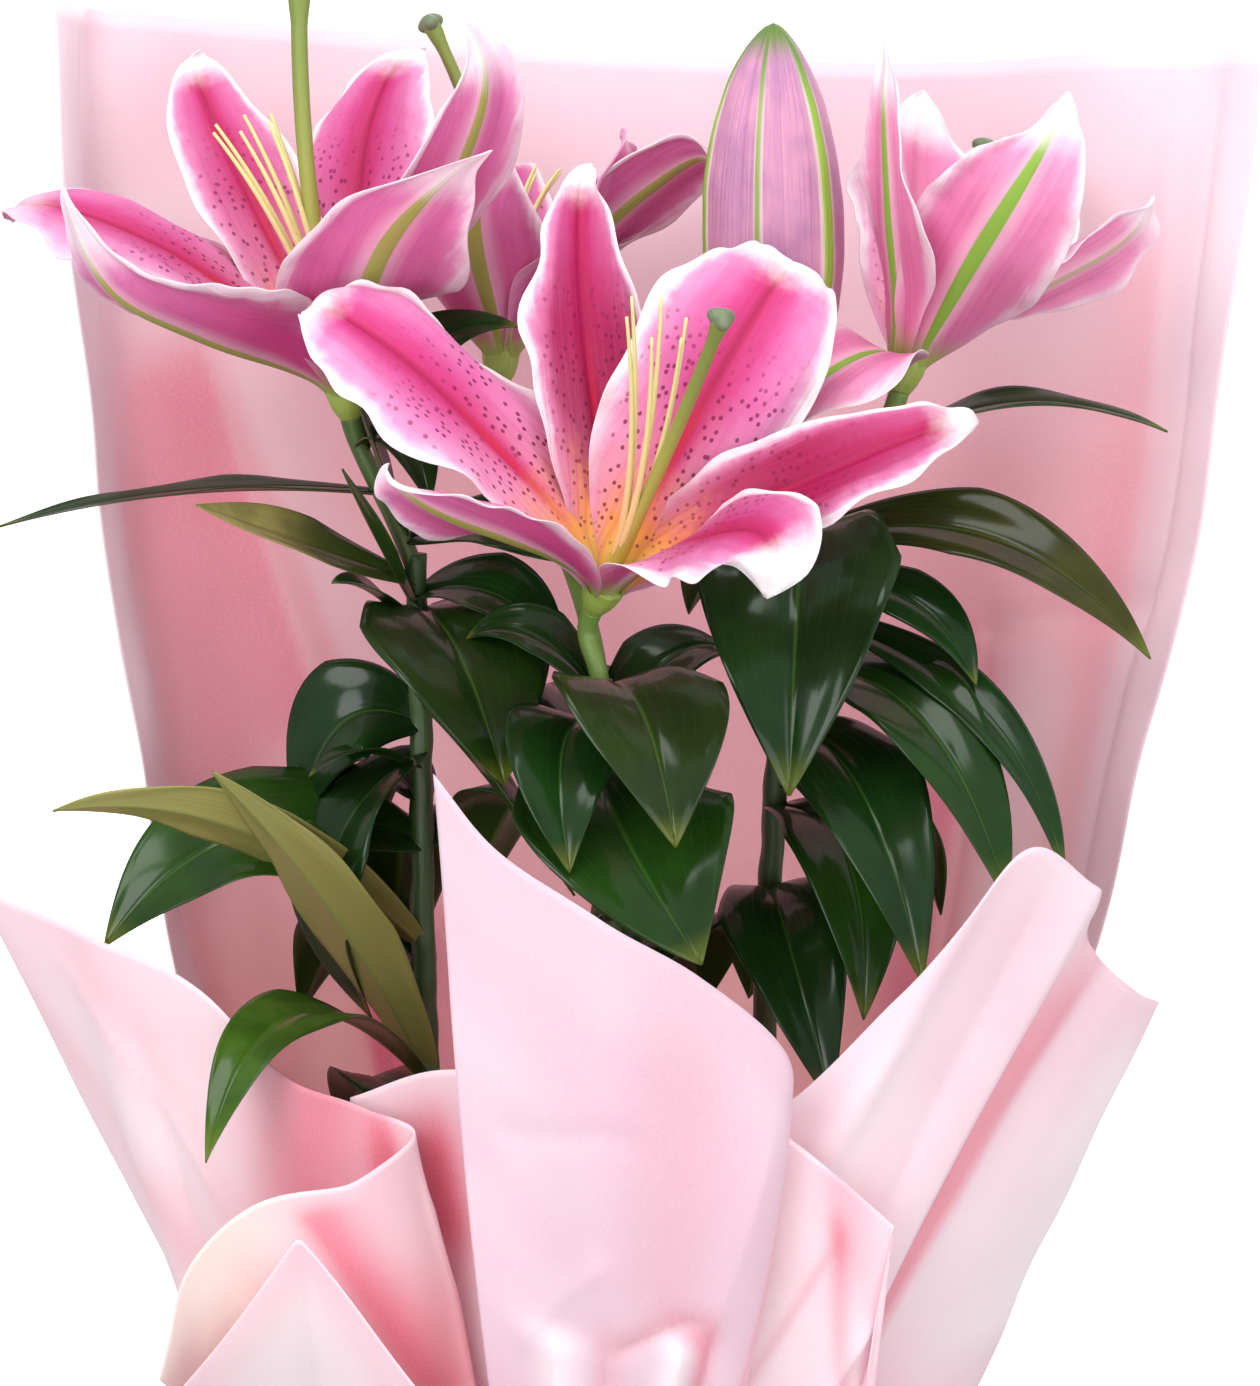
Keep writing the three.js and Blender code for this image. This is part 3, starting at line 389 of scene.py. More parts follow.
SHEETS["wrap_flap"] = dict(
    flare=0.65,
    blush=0.1,
    creases=[
        mark(0.3, 0.4, 0.66, 0.8, -3, 2.2),
        mark(0.72, 0.3, 0.75, 0.9, 2, 3),
    ],
    painted_shading=[
        mark(0.62, 0.6, 0.4, 0.94, 0.4, 4, left=3.5, fade=0.1),
        mark(0.47, 0.86, 0.33, 1.05, 0.45, 12, left=6, fade=0.35),
        mark(0.18, 0.6, 0.39, 0.88, 0.3, 1.6),
    ],
    stations=[
        station(8, 3.4, [42, -109, 286]),
        station(24, 3.4, [64, -115, 270]),
        station(36, 3.4, [81, -113, 255], corner=True),
        station(46, 3.4, [77, -105, 214]),
    ],
)
SHEETS["wrap_right"] = dict(
    blush=0.05,
    lilac=0.3,
    creases=[
        mark(0.68, 0.4, 0.66, 0.97, -3, 6),
        mark(0.5, 0.3, 0.5, 0.95, 1.5, 6),
    ],
    painted_shading=[
        mark(0.66, 0.45, 0.67, 0.99, 0.68, 3.5, left=17),
        mark(0.1, 0.74, 0.075, 0.95, 1, 8, left=14, fade=0.3),
        mark(0.42, 0.6, 0.4, 0.9, -0.4, 14),
        mark(0.82, 0.5, 0.8, 0.95, -0.8, 34, left=26),
    ],
    stations=[
        station(-34, 0, [-64, -82, 283], flare=0.4),
        station(-22, 0, [-38, -94, 293], flare=0.4),
        station(-8, 1.2, [0, -101, 290], flare=0.4),
        station(2, 2.4, [44, -102, 281], flare=0.4),
        station(11, 2.4, [82, -97, 314], flare=0.42),
        station(21, 2.4, [116, -84, 350], flare=0.45),
        station(30, 2.2, [138, -66, 337], flare=0.5, corner=True),
        station(26, 1, [134, -56, 322], flare=0.5),
        station(42, 1, [150, -40, 304], flare=0.5),
        station(72, 2, [158, -6, 294], flare=0.5),
        station(116, 2, [146, 78, 272], flare=0.7),
        station(152, 2, [86, 136, 236], flare=0.7),
    ],
    folds=[dict(at=0.4, width=0.05, depth=3)],
)


# Vectors and shaping functions


def vec(p):
    return np.array(p, float)


def unit(v):
    return v / (np.linalg.norm(v, axis=-1, keepdims=True) + 1e-12)


def ease(low, high, x):
    """0 below low, 1 above high, and smooth between them."""
    t = np.clip((x - low) / (high - low), 0, 1)
    return t * t * (3 - 2 * t)


def bump_at(x, middle, width):
    return np.exp(-(((x - middle) / width) ** 2))


def dot(a, b):
    return (a * b).sum(-1, keepdims=True)


def turned_about(v, axis, angle):
    """v turned about a unit axis by an angle in radians."""
    axis = unit(axis)
    c, s = np.cos(angle), np.sin(angle)
    return v * c + np.cross(axis, v) * s + axis * dot(axis, v) * (1 - c)


def ripple(x, y, seed):
    """Smooth seeded noise between about -1 and 1 with features about 1 wide."""
    rng = np.random.default_rng(seed)
    total = 0
    for _ in range(WAVES):
        way = rng.uniform(0, TAU)
        pitch = rng.uniform(0.6, 1.6) * TAU / 2
        phase = rng.uniform(0, TAU)
        total = total + np.sin(pitch * (x * np.cos(way) + y * np.sin(way)) + phase)
    return total / math.sqrt(WAVES)


# Curves: each takes an array of places from 0 to 1 and gives points, or points and tangents


def bezier(points):
    points = [vec(p) for p in points]
    degree = len(points) - 1

    def curve(t):
        t = np.atleast_1d(t)[:, None]
        place = 0
        way = 0
        for i, p in enumerate(points):
            place = place + math.comb(degree, i) * (1 - t) ** (degree - i) * t**i * p
        for i in range(degree):
            weight = math.comb(degree - 1, i) * (1 - t) ** (degree - 1 - i) * t**i
            way = way + degree * weight * (points[i + 1] - points[i])
        return place, unit(way)

    return curve


def arc(a, b, c):
    """A quadratic curve that starts at a, passes b half-way and ends at c."""
    return bezier([a, 2 * vec(b) - 0.5 * vec(a) - 0.5 * vec(c), c])


def read_at(at, places, rows):
    """Rows of points, read at places between them."""
    return np.stack([np.interp(at, places, rows[:, k]) for k in range(3)], -1)


def through(points):
    """A smooth curve through points, sampled evenly by its length."""
    points = [vec(p) for p in points]
    chain = [2 * points[0] - points[1], *points, 2 * points[-1] - points[-2]]
    pieces = []
    for p0, p1, p2, p3 in zip(chain, chain[1:], chain[2:], chain[3:]):
        gaps = [max(np.linalg.norm(b - a), 1e-6) ** 0.5 for a, b in ((p0, p1), (p1, p2), (p2, p3))]
        d0, d1, d2 = gaps
        m1 = ((p1 - p0) / d0 - (p2 - p0) / (d0 + d1) + (p2 - p1) / d1) * d1
        m2 = ((p2 - p1) / d1 - (p3 - p1) / (d1 + d2) + (p3 - p2) / d2) * d1
        t = np.linspace(0, 1, 60)[:, None]
        square = 3 * (p2 - p1) - 2 * m1 - m2
        cube = 2 * (p1 - p2) + m1 + m2
        pieces.append(p1 + m1 * t + square * t**2 + cube * t**3)
    line = np.concatenate(pieces)
    run = np.concatenate([[0], np.cumsum(np.linalg.norm(np.diff(line, axis=0), axis=1))])
    line = read_at(np.linspace(0, run[-1], STEM_STEPS), run, line)
    ways = np.gradient(line, axis=0)
    places = np.arange(STEM_STEPS)

    def curve(t):
        at = np.clip(np.atleast_1d(t), 0, 1) * (STEM_STEPS - 1)
        return read_at(at, places, line), unit(read_at(at, places, ways))

    curve.line = line
    return curve


def at_height(line, z):
    """The first point of a rising line at height z."""
    i = int(np.argmax(line[:, 2] >= z))
    if i == 0:
        return line[0] if line[0, 2] >= z else line[-1]
    f = (z - line[i - 1, 2]) / (line[i, 2] - line[i - 1, 2])
    return line[i - 1] + f * (line[i] - line[i - 1])


# Parts of meshes: (points, faces, values), where values are numbers at the points


def grid_faces(rows, columns, closed=False):
    i, j = np.meshgrid(np.arange(rows - 1), np.arange(columns if closed else columns - 1), indexing="ij")
    k = (j + 1) % columns
    quads = np.stack([i * columns + j, i * columns + k, (i + 1) * columns + k, (i + 1) * columns + j], -1)
    return quads.reshape(-1, 4)


def capped_faces(rows, sides):
    """Faces of a closed grid whose ends meet in two more points, the foot and the top."""
    count = rows * sides
    j = np.arange(sides)
    k = (j + 1) % sides
    foot = np.full(sides, count)
    last = count - sides
    fans = [np.stack([k, j, foot, foot], -1), np.stack([last + j, last + k, foot + 1, foot + 1], -1)]
    return np.concatenate([grid_faces(rows, sides, closed=True), *fans])


def spread(place, across, off, normal, lift):
    """Points off to the side of a midrib and lifted from it."""
    return place[:, None] + across[:, None] * off[..., None] + normal[:, None] * lift[..., None]


def blade(middle, thickness, values):
    """A thin closed blade on either side of a grid of points. The value side is 1 on the face
    that normals of across x along point to, and 0 on the other."""
    rows, columns = middle.shape[:2]
    along = np.gradient(middle, axis=0)
    across = np.gradient(middle, axis=1)
    normal = unit(np.cross(along, across))
    half = normal * np.broadcast_to(np.asarray(thickness) / 2, (rows, columns))[..., None]
    points = np.concatenate([(middle + half).reshape(-1, 3), (middle - half).reshape(-1, 3)])
    count = rows * columns
    over = grid_faces(rows, columns)
    faces = [over[:, ::-1], over + count]
    index = np.arange(count).reshape(rows, columns)
    loop = np.concatenate([index[0, :], index[1:, -1], index[-1, -2::-1], index[-2:0:-1, 0]])
    following = np.roll(loop, -1)
    faces.append(np.stack([loop, following, following + count, loop + count], -1))
    both = {k: np.tile(np.broadcast_to(v, (rows, columns)).reshape(-1), 2) for k, v in values.items()}
    both["side"] = np.repeat([1.0, 0.0], count)
    return points, np.concatenate(faces), both


def tube(curve, radius, steps, sides, values=None, relief=None):
    """A closed tube along a curve. radius takes places along it, and relief places and turns."""
    t = np.linspace(0, 1, steps)
    centre, way = curve(t)
    side = np.cross(way[0], [0.31, 0.87, 0.38])
    sides_at = []
    for w in way:
        side = side - w * (side @ w)
        side = side / np.linalg.norm(side)
        sides_at.append(side)
    a = np.array(sides_at)
    b = np.cross(way, a)
    turn = np.linspace(0, TAU, sides, endpoint=False)
    r = np.asarray(radius(t), float)[:, None] * np.ones(sides)
    if relief:
        r = r + relief(t[:, None], turn[None, :])
    ring = np.cos(turn)[None, :, None] * a[:, None] + np.sin(turn)[None, :, None] * b[:, None]
    points = (centre[:, None] + r[..., None] * ring).reshape(-1, 3)
    points = np.concatenate([points, centre[[0, -1]]])
    filled = {key: np.full(len(points), float(v)) for key, v in (values or {}).items()}
    filled["along"] = np.concatenate([np.repeat(t, sides), t[[0, -1]]])
    filled["across"] = np.concatenate([np.tile(turn / TAU, steps), [0, 0]])
    return points, capped_faces(steps, sides), filled


def lathe(profile, sides, relief=None):
    """A closed turned solid about the Z axis. The profile starts and ends on the axis."""
    profile = np.array(profile, float)
    inner = profile[1:-1]
    turn = np.linspace(0, TAU, sides, endpoint=False)
    r = inner[:, 0][:, None] * np.ones(sides)
    z = inner[:, 1][:, None] * np.ones(sides)
    points = np.stack([r * np.cos(turn), r * np.sin(turn), z], -1)
    if relief:
        points = relief(points)
    ends = [[0, 0, profile[0, 1]], [0, 0, profile[-1, 1]]]
    return np.concatenate([points.reshape(-1, 3), ends]), capped_faces(len(inner), sides), {}


def mesh_of(name, parts):
    """One mesh from parts. A face that names its third corner twice is a triangle."""
    starts = np.cumsum([0] + [len(part[0]) for part in parts])
    points = np.concatenate([part[0] for part in parts]) * MM
    quads = np.concatenate([part[1] + start for part, start in zip(parts, starts)])
    mesh = bpy.data.meshes.new(name)
    mesh.from_pydata(points.tolist(), [], [f[:3] if f[2] == f[3] else f for f in quads.tolist()])
    for key in sorted({key for part in parts for key in part[2]}):
        column = np.concatenate([part[2].get(key, np.zeros(len(part[0]))) for part in parts])
        mesh.attributes.new(key, "FLOAT", "POINT").data.foreach_set("value", column.astype(np.float32))
    return mesh


def placed(name, data):
    made = bpy.data.objects.new(name, data)
    bpy.context.scene.collection.objects.link(made)
    return made


def piece(name, parts, nodes, material):
    """One object from parts, which stands for CAD nodes."""
    mesh = mesh_of(name, parts)
    mesh.polygons.foreach_set("use_smooth", [True] * len(mesh.polygons))
    mesh.materials.append(material)
    mesh.update()
    made = placed(name, mesh)
    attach(made, "root")
    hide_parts(*nodes)
    return made


# Leaves and stems


def leaf_outline(t):
    rise = np.clip(t / LEAF_WIDEST, 0, 1) ** 0.7
    fall = 1 - np.clip((t - LEAF_WIDEST) / (1 - LEAF_WIDEST), 0, 1) ** 1.9
    return 0.16 * (1 - t) + 0.84 * rise * fall + 0.012


def leaf_part(root, mid, tip, width, face=0, roll=0, tone=0.5, seed=0):
    t, s = (np.linspace(low, 1, count) for low, count in zip((0, -1), LEAF_GRID))
    T, S = t[:, None], s[None, :]
    place, way = arc(root, mid, tip)(t)
    out = vec(tip) - root
    side = unit(np.cross([0, 0, 1], [out[0], out[1], 0]))
    across = unit(side - way * dot(way, side))
    across = turned_about(across, way, math.radians(roll + face * np.sign(out[0])))
    half = width / 2 * leaf_outline(T)
    length = np.linalg.norm(vec(mid) - root) + np.linalg.norm(vec(tip) - vec(mid))
    edge = np.abs(S)
    lift = half * LEAF_CUP * (1.7 * edge - 0.7 * edge**2)
    lift = lift + 0.09 * half * edge**3 * ripple(length * T / 26, 2 * S, 100 + seed)
    lift = lift - 0.5 * bump_at(S, 0, 0.07) * (1 - 0.7 * T)
    for rib in LEAF_RIBS:
        lift = lift - 0.12 * bump_at(edge, rib, 0.05) * np.sin(np.pi * T)
    points = spread(place, across, half * S, np.cross(way, across), lift)
    thickness = 0.35 + 0.5 * (1 - edge**2) * (1 - 0.6 * T)
    values = dict(along=T, across=S, tone=tone, run=length * T, off=half * S)
    return blade(points, thickness, values)


def pedicel_route(start, mid, bloom):
    target = BLOOMS.get(bloom)
    base = vec(target["base"] if target else BUD["base"])
    axis = unit(vec(target["axis"])) if target else unit(vec(BUD["tip"]) - base)
    under = base - axis * (CUP_LOW if target else 0)
    return bezier([start, mid, under - PEDICEL_BEND * axis, under])


def stem_pieces(name, stem, material_leaf, material_stem):
    curve = through(stem["path"])
    top = vec(stem["path"][-1])

    def knots(t, turn):
        return 0.25 * ripple(t * 40, turn, 31) + 0.12 * np.cos(5 * turn + 8 * t)

    parts = [tube(curve, lambda t: STEM_R + (STEM_TOP_R - STEM_R) * t, 160, 20, relief=knots)]
    for pedicel in stem["pedicels"]:
        start = at_height(curve.line, pedicel["start"]) if "start" in pedicel else curve(0.985)[0][0]
        route = pedicel_route(start, pedicel["mid"], pedicel["bloom"])
        fresh = dict(young=stem.get("young", 1))
        swell = lambda t: PEDICEL_R * (1 + 0.12 * ease(0.7, 1, t))
        parts.append(tube(route, swell, 60, 18, fresh, relief=lambda t, turn: 0.1 * np.cos(3 * turn)))
    piece("stalk_" + name, parts, ["stem_" + name], material_stem)
    first = stem["pedicels"][0]
    higher = pedicel_route(top, first["mid"], first["bloom"])(np.linspace(0, 1, 200))[0]
    leaves = []
    for i, row in enumerate(stem["leaves"]):
        root = at_height(higher if row["z"] > top[2] else curve.line, row["z"])
        shape = {key: value for key, value in row.items() if key != "z"}
        leaves.append(leaf_part(root, seed=i + 40 * len(name), **shape))
    piece("leaves_" + name, leaves, ["stem_" + name], material_leaf)


# Blooms


def tepal_outline(t, kind):
    widest = kind["widest"]
    rise = np.sin(np.clip(t / widest, 0, 1) * math.pi / 2)
    fall = (1 - np.clip((t - widest) / (1 - widest), 0, 1) ** kind["point"]) ** kind["taper"]
    return 0.12 * (1 - t) + 0.88 * rise**1.2 * fall + 0.02


def tepal_part(
    bloom, mid, tip, width, roll=0, outer=False, young=0, deep=0.3, snow=0.92, flip=False, seed=0, **shape
):
    kind = dict(OUTER if outer else INNER, **shape)
    base = vec(bloom["base"])
    axis = unit(vec(bloom["axis"]))
    reach = vec(tip) - base
    radial = unit(reach - axis * (reach @ axis))
    side = np.cross(axis, radial)
    root = base + kind["ring"] * radial
    first = root + axis * RISE * np.linalg.norm(reach)
    second = vec(mid) * 8 / 3 - root / 3 - first - vec(tip) / 3
    t = np.linspace(0, 1, TEPAL_GRID[0])
    s = np.sin(np.linspace(-1, 1, TEPAL_GRID[1]) * TEPAL_SPREAD) / math.sin(TEPAL_SPREAD)
    place, way = bezier([root, first, second, tip])(t)
    angle = np.radians(roll) * np.minimum(1, 2 * t)
    across = turned_about(side[None, :], way, angle[:, None])
    normal = np.cross(way, across)
    T = t[:, None]
    S = s[None, :]
    edge = np.abs(S)
    half = np.maximum(width / 2 * tepal_outline(T, kind), 0.5)
    length = np.linalg.norm(reach) * 1.08
    opened = np.clip(3 * T, 0.25, 1)
    lift = half * kind["cup"] * S**2 * (1.6 - T) * opened
    lift = lift - 1.5 * bump_at(S, 0, 0.1) * np.sin(np.pi * T)
    lift = lift + kind["ruffle"] * edge**3 * np.sin(13 * T + 2.2 * S) * opened * (1 - 0.4 * T)
    lift = lift + np.clip(1 - T / 0.2, 0, 1) ** 2 * half * 0.35 * S**2
    # margins turn back, and frill in the inner tepals
    lift = lift - 0.25 * half * ease(0.62, 1.0, edge) * ease(0.25, 0.6, T)
    frill = (0.8 if outer else 1.5) * edge**5 * ease(0.2, 0.45, T) * ease(1.0, 0.93, T)
    lift = lift + frill * ripple(length * T / 9, 1.6 * np.sign(S) + 0.4 * S, 500 + seed)
    lift = lift + 0.5 * ripple(length * T / 22, half * S / 14, 700 + seed) * opened * (1 - 0.3 * edge)
    # the tip pinches and turns back
    lift = lift - 2.2 * ease(0.88, 1, T) ** 2
    ribs = sum(0.1 * bump_at(edge, rib, 0.035) for rib in TEPAL_RIBS)
    lift = lift - ribs * np.sin(np.pi * T)
    inward = 0.06 * half * ripple(length * T / 13, 3 * np.sign(S), 900 + seed) * edge**4
    points = spread(place, across, half * S - np.sign(S) * inward, normal, lift)
    thickness = 0.28 + 0.9 * (1 - edge**0.8) * (1 - 0.7 * T)
    values = dict(along=T, across=S, run=length * T, off=half * S)
    values.update(young=young, deep=deep, snow=snow, outer=float(outer))
    points, faces, both = blade(points, thickness, values)
    if flip:
        both["side"] = 1 - both["side"]
    return points, faces, both


def straight(base, axis, low, high):
    return bezier([base + axis * low, base + axis * high])


def bloom_pieces(name, bloom, material_tepal, material_cup, material_heart):
    base = vec(bloom["base"])
    axis = unit(vec(bloom["axis"]))
    seed = 10 * len(name) + ord(name[0])
    parts = [
        tepal_part(bloom, seed=seed + 7 * i, young=bloom.get("young", 0), **row)
        for i, row in enumerate(bloom["tepals"])
    ]
    piece("tepals_" + name, parts, ["bloom_" + name], material_tepal)

    def cup_radius(t):
        height = -CUP_LOW + t * (CUP_LOW + CUP_HIGH)
        return np.interp(height, [-6, -3, 0, 4], [PEDICEL_R * 1.12, CUP_MIDDLE_R, 5.2, CUP_R])

    def cup_ribs(t, turn):
        return 0.25 * np.cos(6 * turn) * t

    cup = tube(straight(base, axis, -CUP_LOW, CUP_HIGH), cup_radius, 24, 36, relief=cup_ribs)
    piece("cup_" + name, [cup], ["bloom_" + name], material_cup)

    end = vec(bloom["style"])
    length = np.linalg.norm(end - base)
    style_curve = bezier([base + axis * (CUP_HIGH + GAP), base + axis * 0.55 * length, end])

    def style_radius(t):
        swell = 0.9 * ease(0.9, 1.0, t)
        return STYLE_FOOT_R + (bloom.get("girth", STYLE_R) - STYLE_FOOT_R) * np.minimum(1, 3 * t) + swell

    hearts = [tube(style_curve, style_radius, 60, 14, dict(kind=0))]
    way = style_curve(1.0)[1][0]
    lobes = lambda t, turn: 0.75 * np.cos(3 * turn) * np.sin(np.pi * np.clip(t, 0, 1)) ** 0.5
    head = lambda t: 3.5 * np.sin(np.pi * (0.06 + 0.9 * t)) ** 0.6
    stigma = dict(kind=bloom.get("stigma", 0.5))
    hearts.append(tube(straight(end, way, -2.6, 2.6), head, 20, 36, stigma, relief=lobes))
    side = unit(np.cross([0, 1, 0.2], axis))
    middle = vec(bloom["stamens"])
    for i in range(6):
        out = turned_about(side, axis, (i + 0.5) * math.pi / 3)
        foot = base + axis * (CUP_HIGH + 1.1)
        half_way = base + axis * 0.42 * length + out * 0.35 * bloom["gather"]
        route = bezier([foot, half_way, middle + out * bloom["gather"]])
        hearts.append(tube(route, lambda t: 1.3 - 0.85 * t**1.2, 36, 9, dict(kind=1)))
    piece("pistil_" + name, hearts, ["heart_" + name], material_heart)


def bud_part():
    foot = vec(BUD["base"])
    length = np.linalg.norm(vec(BUD["tip"]) - foot)
    axis = unit(vec(BUD["tip"]) - foot)
    side = unit(np.array([1, 0, 0]) - axis * axis[0])
    other = np.cross(axis, side)
    t = 1 - np.linspace(1, 0.05, BUD_GRID[0]) ** 1.6
    turn = np.linspace(0, TAU, BUD_GRID[1], endpoint=False)
    rise = BUD_FOOT + (1 - BUD_FOOT) * np.sin(math.pi / 2 * np.minimum(t / BUD_WIDEST, 1)) ** 0.8
    fall = (1 - np.clip((t - BUD_WIDEST) / (1 - BUD_WIDEST), 0, 1) ** 2) ** 0.645
    share = rise * fall
    T, A = np.meshgrid(t, turn, indexing="ij")
    three = 3 * (A - math.radians(BUD_TURN - 90))
    fade = ease(1.0, 0.94, T)
    ridge = np.exp(-((1 - np.cos(three)) / 0.035))
    fine_ridge = np.exp(-((1 + np.cos(three)) / 0.012))
    groove = bump_at(np.cos(three), -0.55, 0.12)
    r = BUD["radius"] * share[:, None] * (1 + BUD_RIB * np.cos(three))
    r = r + (0.9 * ridge + 0.7 * fine_ridge - 0.6 * groove) * np.sin(np.pi * T) ** 0.5 * fade
    r = r + 0.15 * ripple(T * 12, 3 * np.cos(A), 77) * fade
    points = foot + axis * (length * T)[..., None]
    points = points + r[..., None] * (np.cos(A)[..., None] * side + np.sin(A)[..., None] * other)
    points = np.concatenate([points.reshape(-1, 3), [foot, vec(BUD["tip"])]])

    def filled(values, ends):
        return np.concatenate([values.reshape(-1), ends])

    values = dict(along=filled(T, [0, 1]), rib=filled(ridge, [1, 1]), fine_rib=filled(fine_ridge, [1, 1]))
    values.update(groove=filled(groove, [0, 0]), run=filled(length * T, [0, length]))
    values["off"] = filled(BUD["radius"] * A, [0, 0])
    return points, capped_faces(*BUD_GRID), values


# Paper


def on_pot(turn, radius, z):
    turn = np.radians(turn)
    return np.stack([radius * np.sin(turn), -radius * np.cos(turn), z + 0 * turn], -1)


def along_stations(values, sharp, place):
    """Values of stations, read smoothly at places from 0 to 1, with a corner at a sharp station."""
    values, sharp = np.array(values, float), np.array(sharp)
    last = len(values) - 1
    at = np.clip(place, 0, 1) * last
    i = np.minimum(last - 1, np.floor(at)).astype(int)
    f = at - i
    b, c = values[i], values[i + 1]
    before = np.where((i > 0) & ~sharp[i], values[np.maximum(i - 1, 0)], 2 * b - c)
    after = np.where((i + 1 < last) & ~sharp[i + 1], values[np.minimum(i + 2, last)], 2 * c - b)
    square = 2 * before - 5 * b + 4 * c - after
    cube = 3 * b - before - 3 * c + after
    return 0.5 * (2 * b + (c - before) * f + square * f**2 + cube * f**3)


def band(line, place, up, span, rise):
    """How far in mm each point of a sheet lies to the side of a line, and 1 along it, 0 past its ends."""
    (x0, y0), (x1, y1) = line["start"], line["end"]
    dx, dy = (x1 - x0) * span, (y1 - y0) * rise
    length = math.hypot(dx, dy)
    px, py = (place - x0) * span, (up - y0) * rise
    run = (px * dx + py * dy) / length
    fade = line.get("fade", 0.15) * length
    return (px * dy - py * dx) / length, ease(-fade, fade, run) * ease(length + fade, length - fade, run)


def sheet_part(name, sheet):
    stations = sheet["stations"]
    corners = np.array([at["rim"] for at in stations], float)
    girth = np.linalg.norm(np.diff(corners, axis=0), axis=1).sum()
    columns = int(np.clip(girth / SHEET_PITCH, *SHEET_COLUMNS))
    sharp = [at.get("corner", False) for at in stations]
    place = np.linspace(0, 1, columns)

    def read(key, usual=0):
        return along_stations([at.get(key, usual) for at in stations], sharp, place)

    turn = read("turn")
    offset = LAYER * read("layer")
    flare = read("flare", sheet.get("flare", FLARE))
    rim = np.stack([along_stations(corners[:, k], sharp, place) for k in range(3)], -1)
    tie = WRAP_TIE_R + offset
    low = on_pot(turn, tie, np.full(columns, float(TIE_HIGH)))
    reach = LEAN * np.linalg.norm(rim - low, axis=1)
    control = on_pot(turn, tie + flare * reach, TIE_HIGH + reach)
    foot_steps = np.linspace(0, 2, SHEET_LOW_ROWS, endpoint=False)
    steps = np.concatenate([foot_steps, np.linspace(2, ROWS, SHEET_ROWS - SHEET_LOW_ROWS)])
    seed = len(name) * 13 + len(stations)
    grid = []
    for row in steps:
        if row < 1:
            radius = WRAP_FOOT_R + offset + (tie - WRAP_FOOT_R - offset) * row
            line = on_pot(turn, radius, np.full(columns, WRAP_FOOT + (TIE_LOW - WRAP_FOOT) * row))
            pleat = 1.1 * math.sin(math.pi * row) * ripple(turn / 9, row * 1.5, seed)
            line = line + on_pot(turn, np.maximum(pleat, -LAYER / 3), 0 * turn)
        elif row < 2:
            line = on_pot(turn, tie, np.full(columns, TIE_LOW + (TIE_HIGH - TIE_LOW) * (row - 1)))
        else:
            f = (row - 2) / (ROWS - 2)
            line = (1 - f) ** 2 * low + 2 * f * (1 - f) * control + f**2 * rim
            crease = 0 * place
            for fold in sheet.get("folds", []):
                crease = crease + fold["depth"] * bump_at(place, fold["at"], fold["width"])
            line = line + on_pot(turn, crease * math.sin(math.pi / 2 * min(1, 1.6 * f)), 0 * turn)
        grid.append(line)
    middle = np.array(grid)
    up = np.clip((steps - 2) / (ROWS - 2), 0, 1)[:, None] * np.ones(columns)
    across_at = np.ones(len(steps))[:, None] * place
    normal = unit(np.cross(np.gradient(middle, axis=0), np.gradient(middle, axis=1)))
    span = np.linalg.norm(np.diff(middle, axis=1), axis=-1).sum(1).mean()
    rise = np.linalg.norm(np.diff(middle, axis=0), axis=-1).sum(0).mean()
    soft = ripple(across_at * span / 46, up * rise / 90, seed + 1) * 1.4
    soft = soft + ripple(across_at * span / 19, up * rise / 40, seed + 2) * 0.35
    for crease in sheet.get("creases", []):
        off, inside = band(crease, across_at, up, span, rise)
        soft = soft + crease["depth"] * np.exp(-np.abs(off) / crease["width"]) * inside
    # Painted shade (positive depth) and painted highlight (negative depth) along lines on the sheet, with a
    # different softness on the left side when left is given.
    rose = 0 * up
    for tint in sheet.get("painted_shading", []):
        off, inside = band(tint, across_at, up, span, rise)
        width = np.where(off > 0, tint["width"], tint.get("left", tint["width"]))
        rose = rose + tint["depth"] * np.exp(-((off / width) ** 2)) * inside
    middle = middle + normal * (soft * ease(0, 0.22, up))[..., None]
    # Painted light: paler lilac bands at the back sheet's side edges, which turn back and catch the light and
    # let it through.
    strip = (ease(0.15, 0.07, across_at) + ease(0.87, 0.93, across_at)) * sheet.get("strips", 0)
    cream = ease(0.75, 0.87, across_at) * ease(0.35, 0.6, up) * sheet.get("cream", 0)
    # Painted shade: the lower inside of the back sheet is painted salmon, the warm colour of shade lit by
    # light bounced off the pink paper.
    warm = ease(0.65, 0.35, up) * sheet.get("strips", 0)
    values = dict(up=up, along=up * rise, across=across_at * span, strip=strip, cream=cream, warm=warm)
    # Each sheet's share of painted shade, a deeper pink towards the bottom where its folds lie in shade.
    # Sheets that face the lamps take a darker lilac paper: partly a lilac hue, partly painted shade that
    # tones down the light they get.
    values.update(blush=sheet.get("blush", 0), lilac=sheet.get("lilac", 0))
    values.update(rose=np.clip(rose, 0, 1), white=np.clip(-rose, 0, 1))
    points, faces, values = blade(middle, SHEET_THICK, values)
    if stations[0]["turn"] > stations[-1]["turn"]:
        values["side"] = 1 - values["side"]
    # The painted shade and highlight show in full on one face, and only faintly on the other face of sheets
    # that ask for it.
    shown = values["side"] + sheet.get("faint", 1) * (1 - values["side"])
    for key in ("rose", "white"):
        values[key] = values[key] * shown
    return points, faces, values


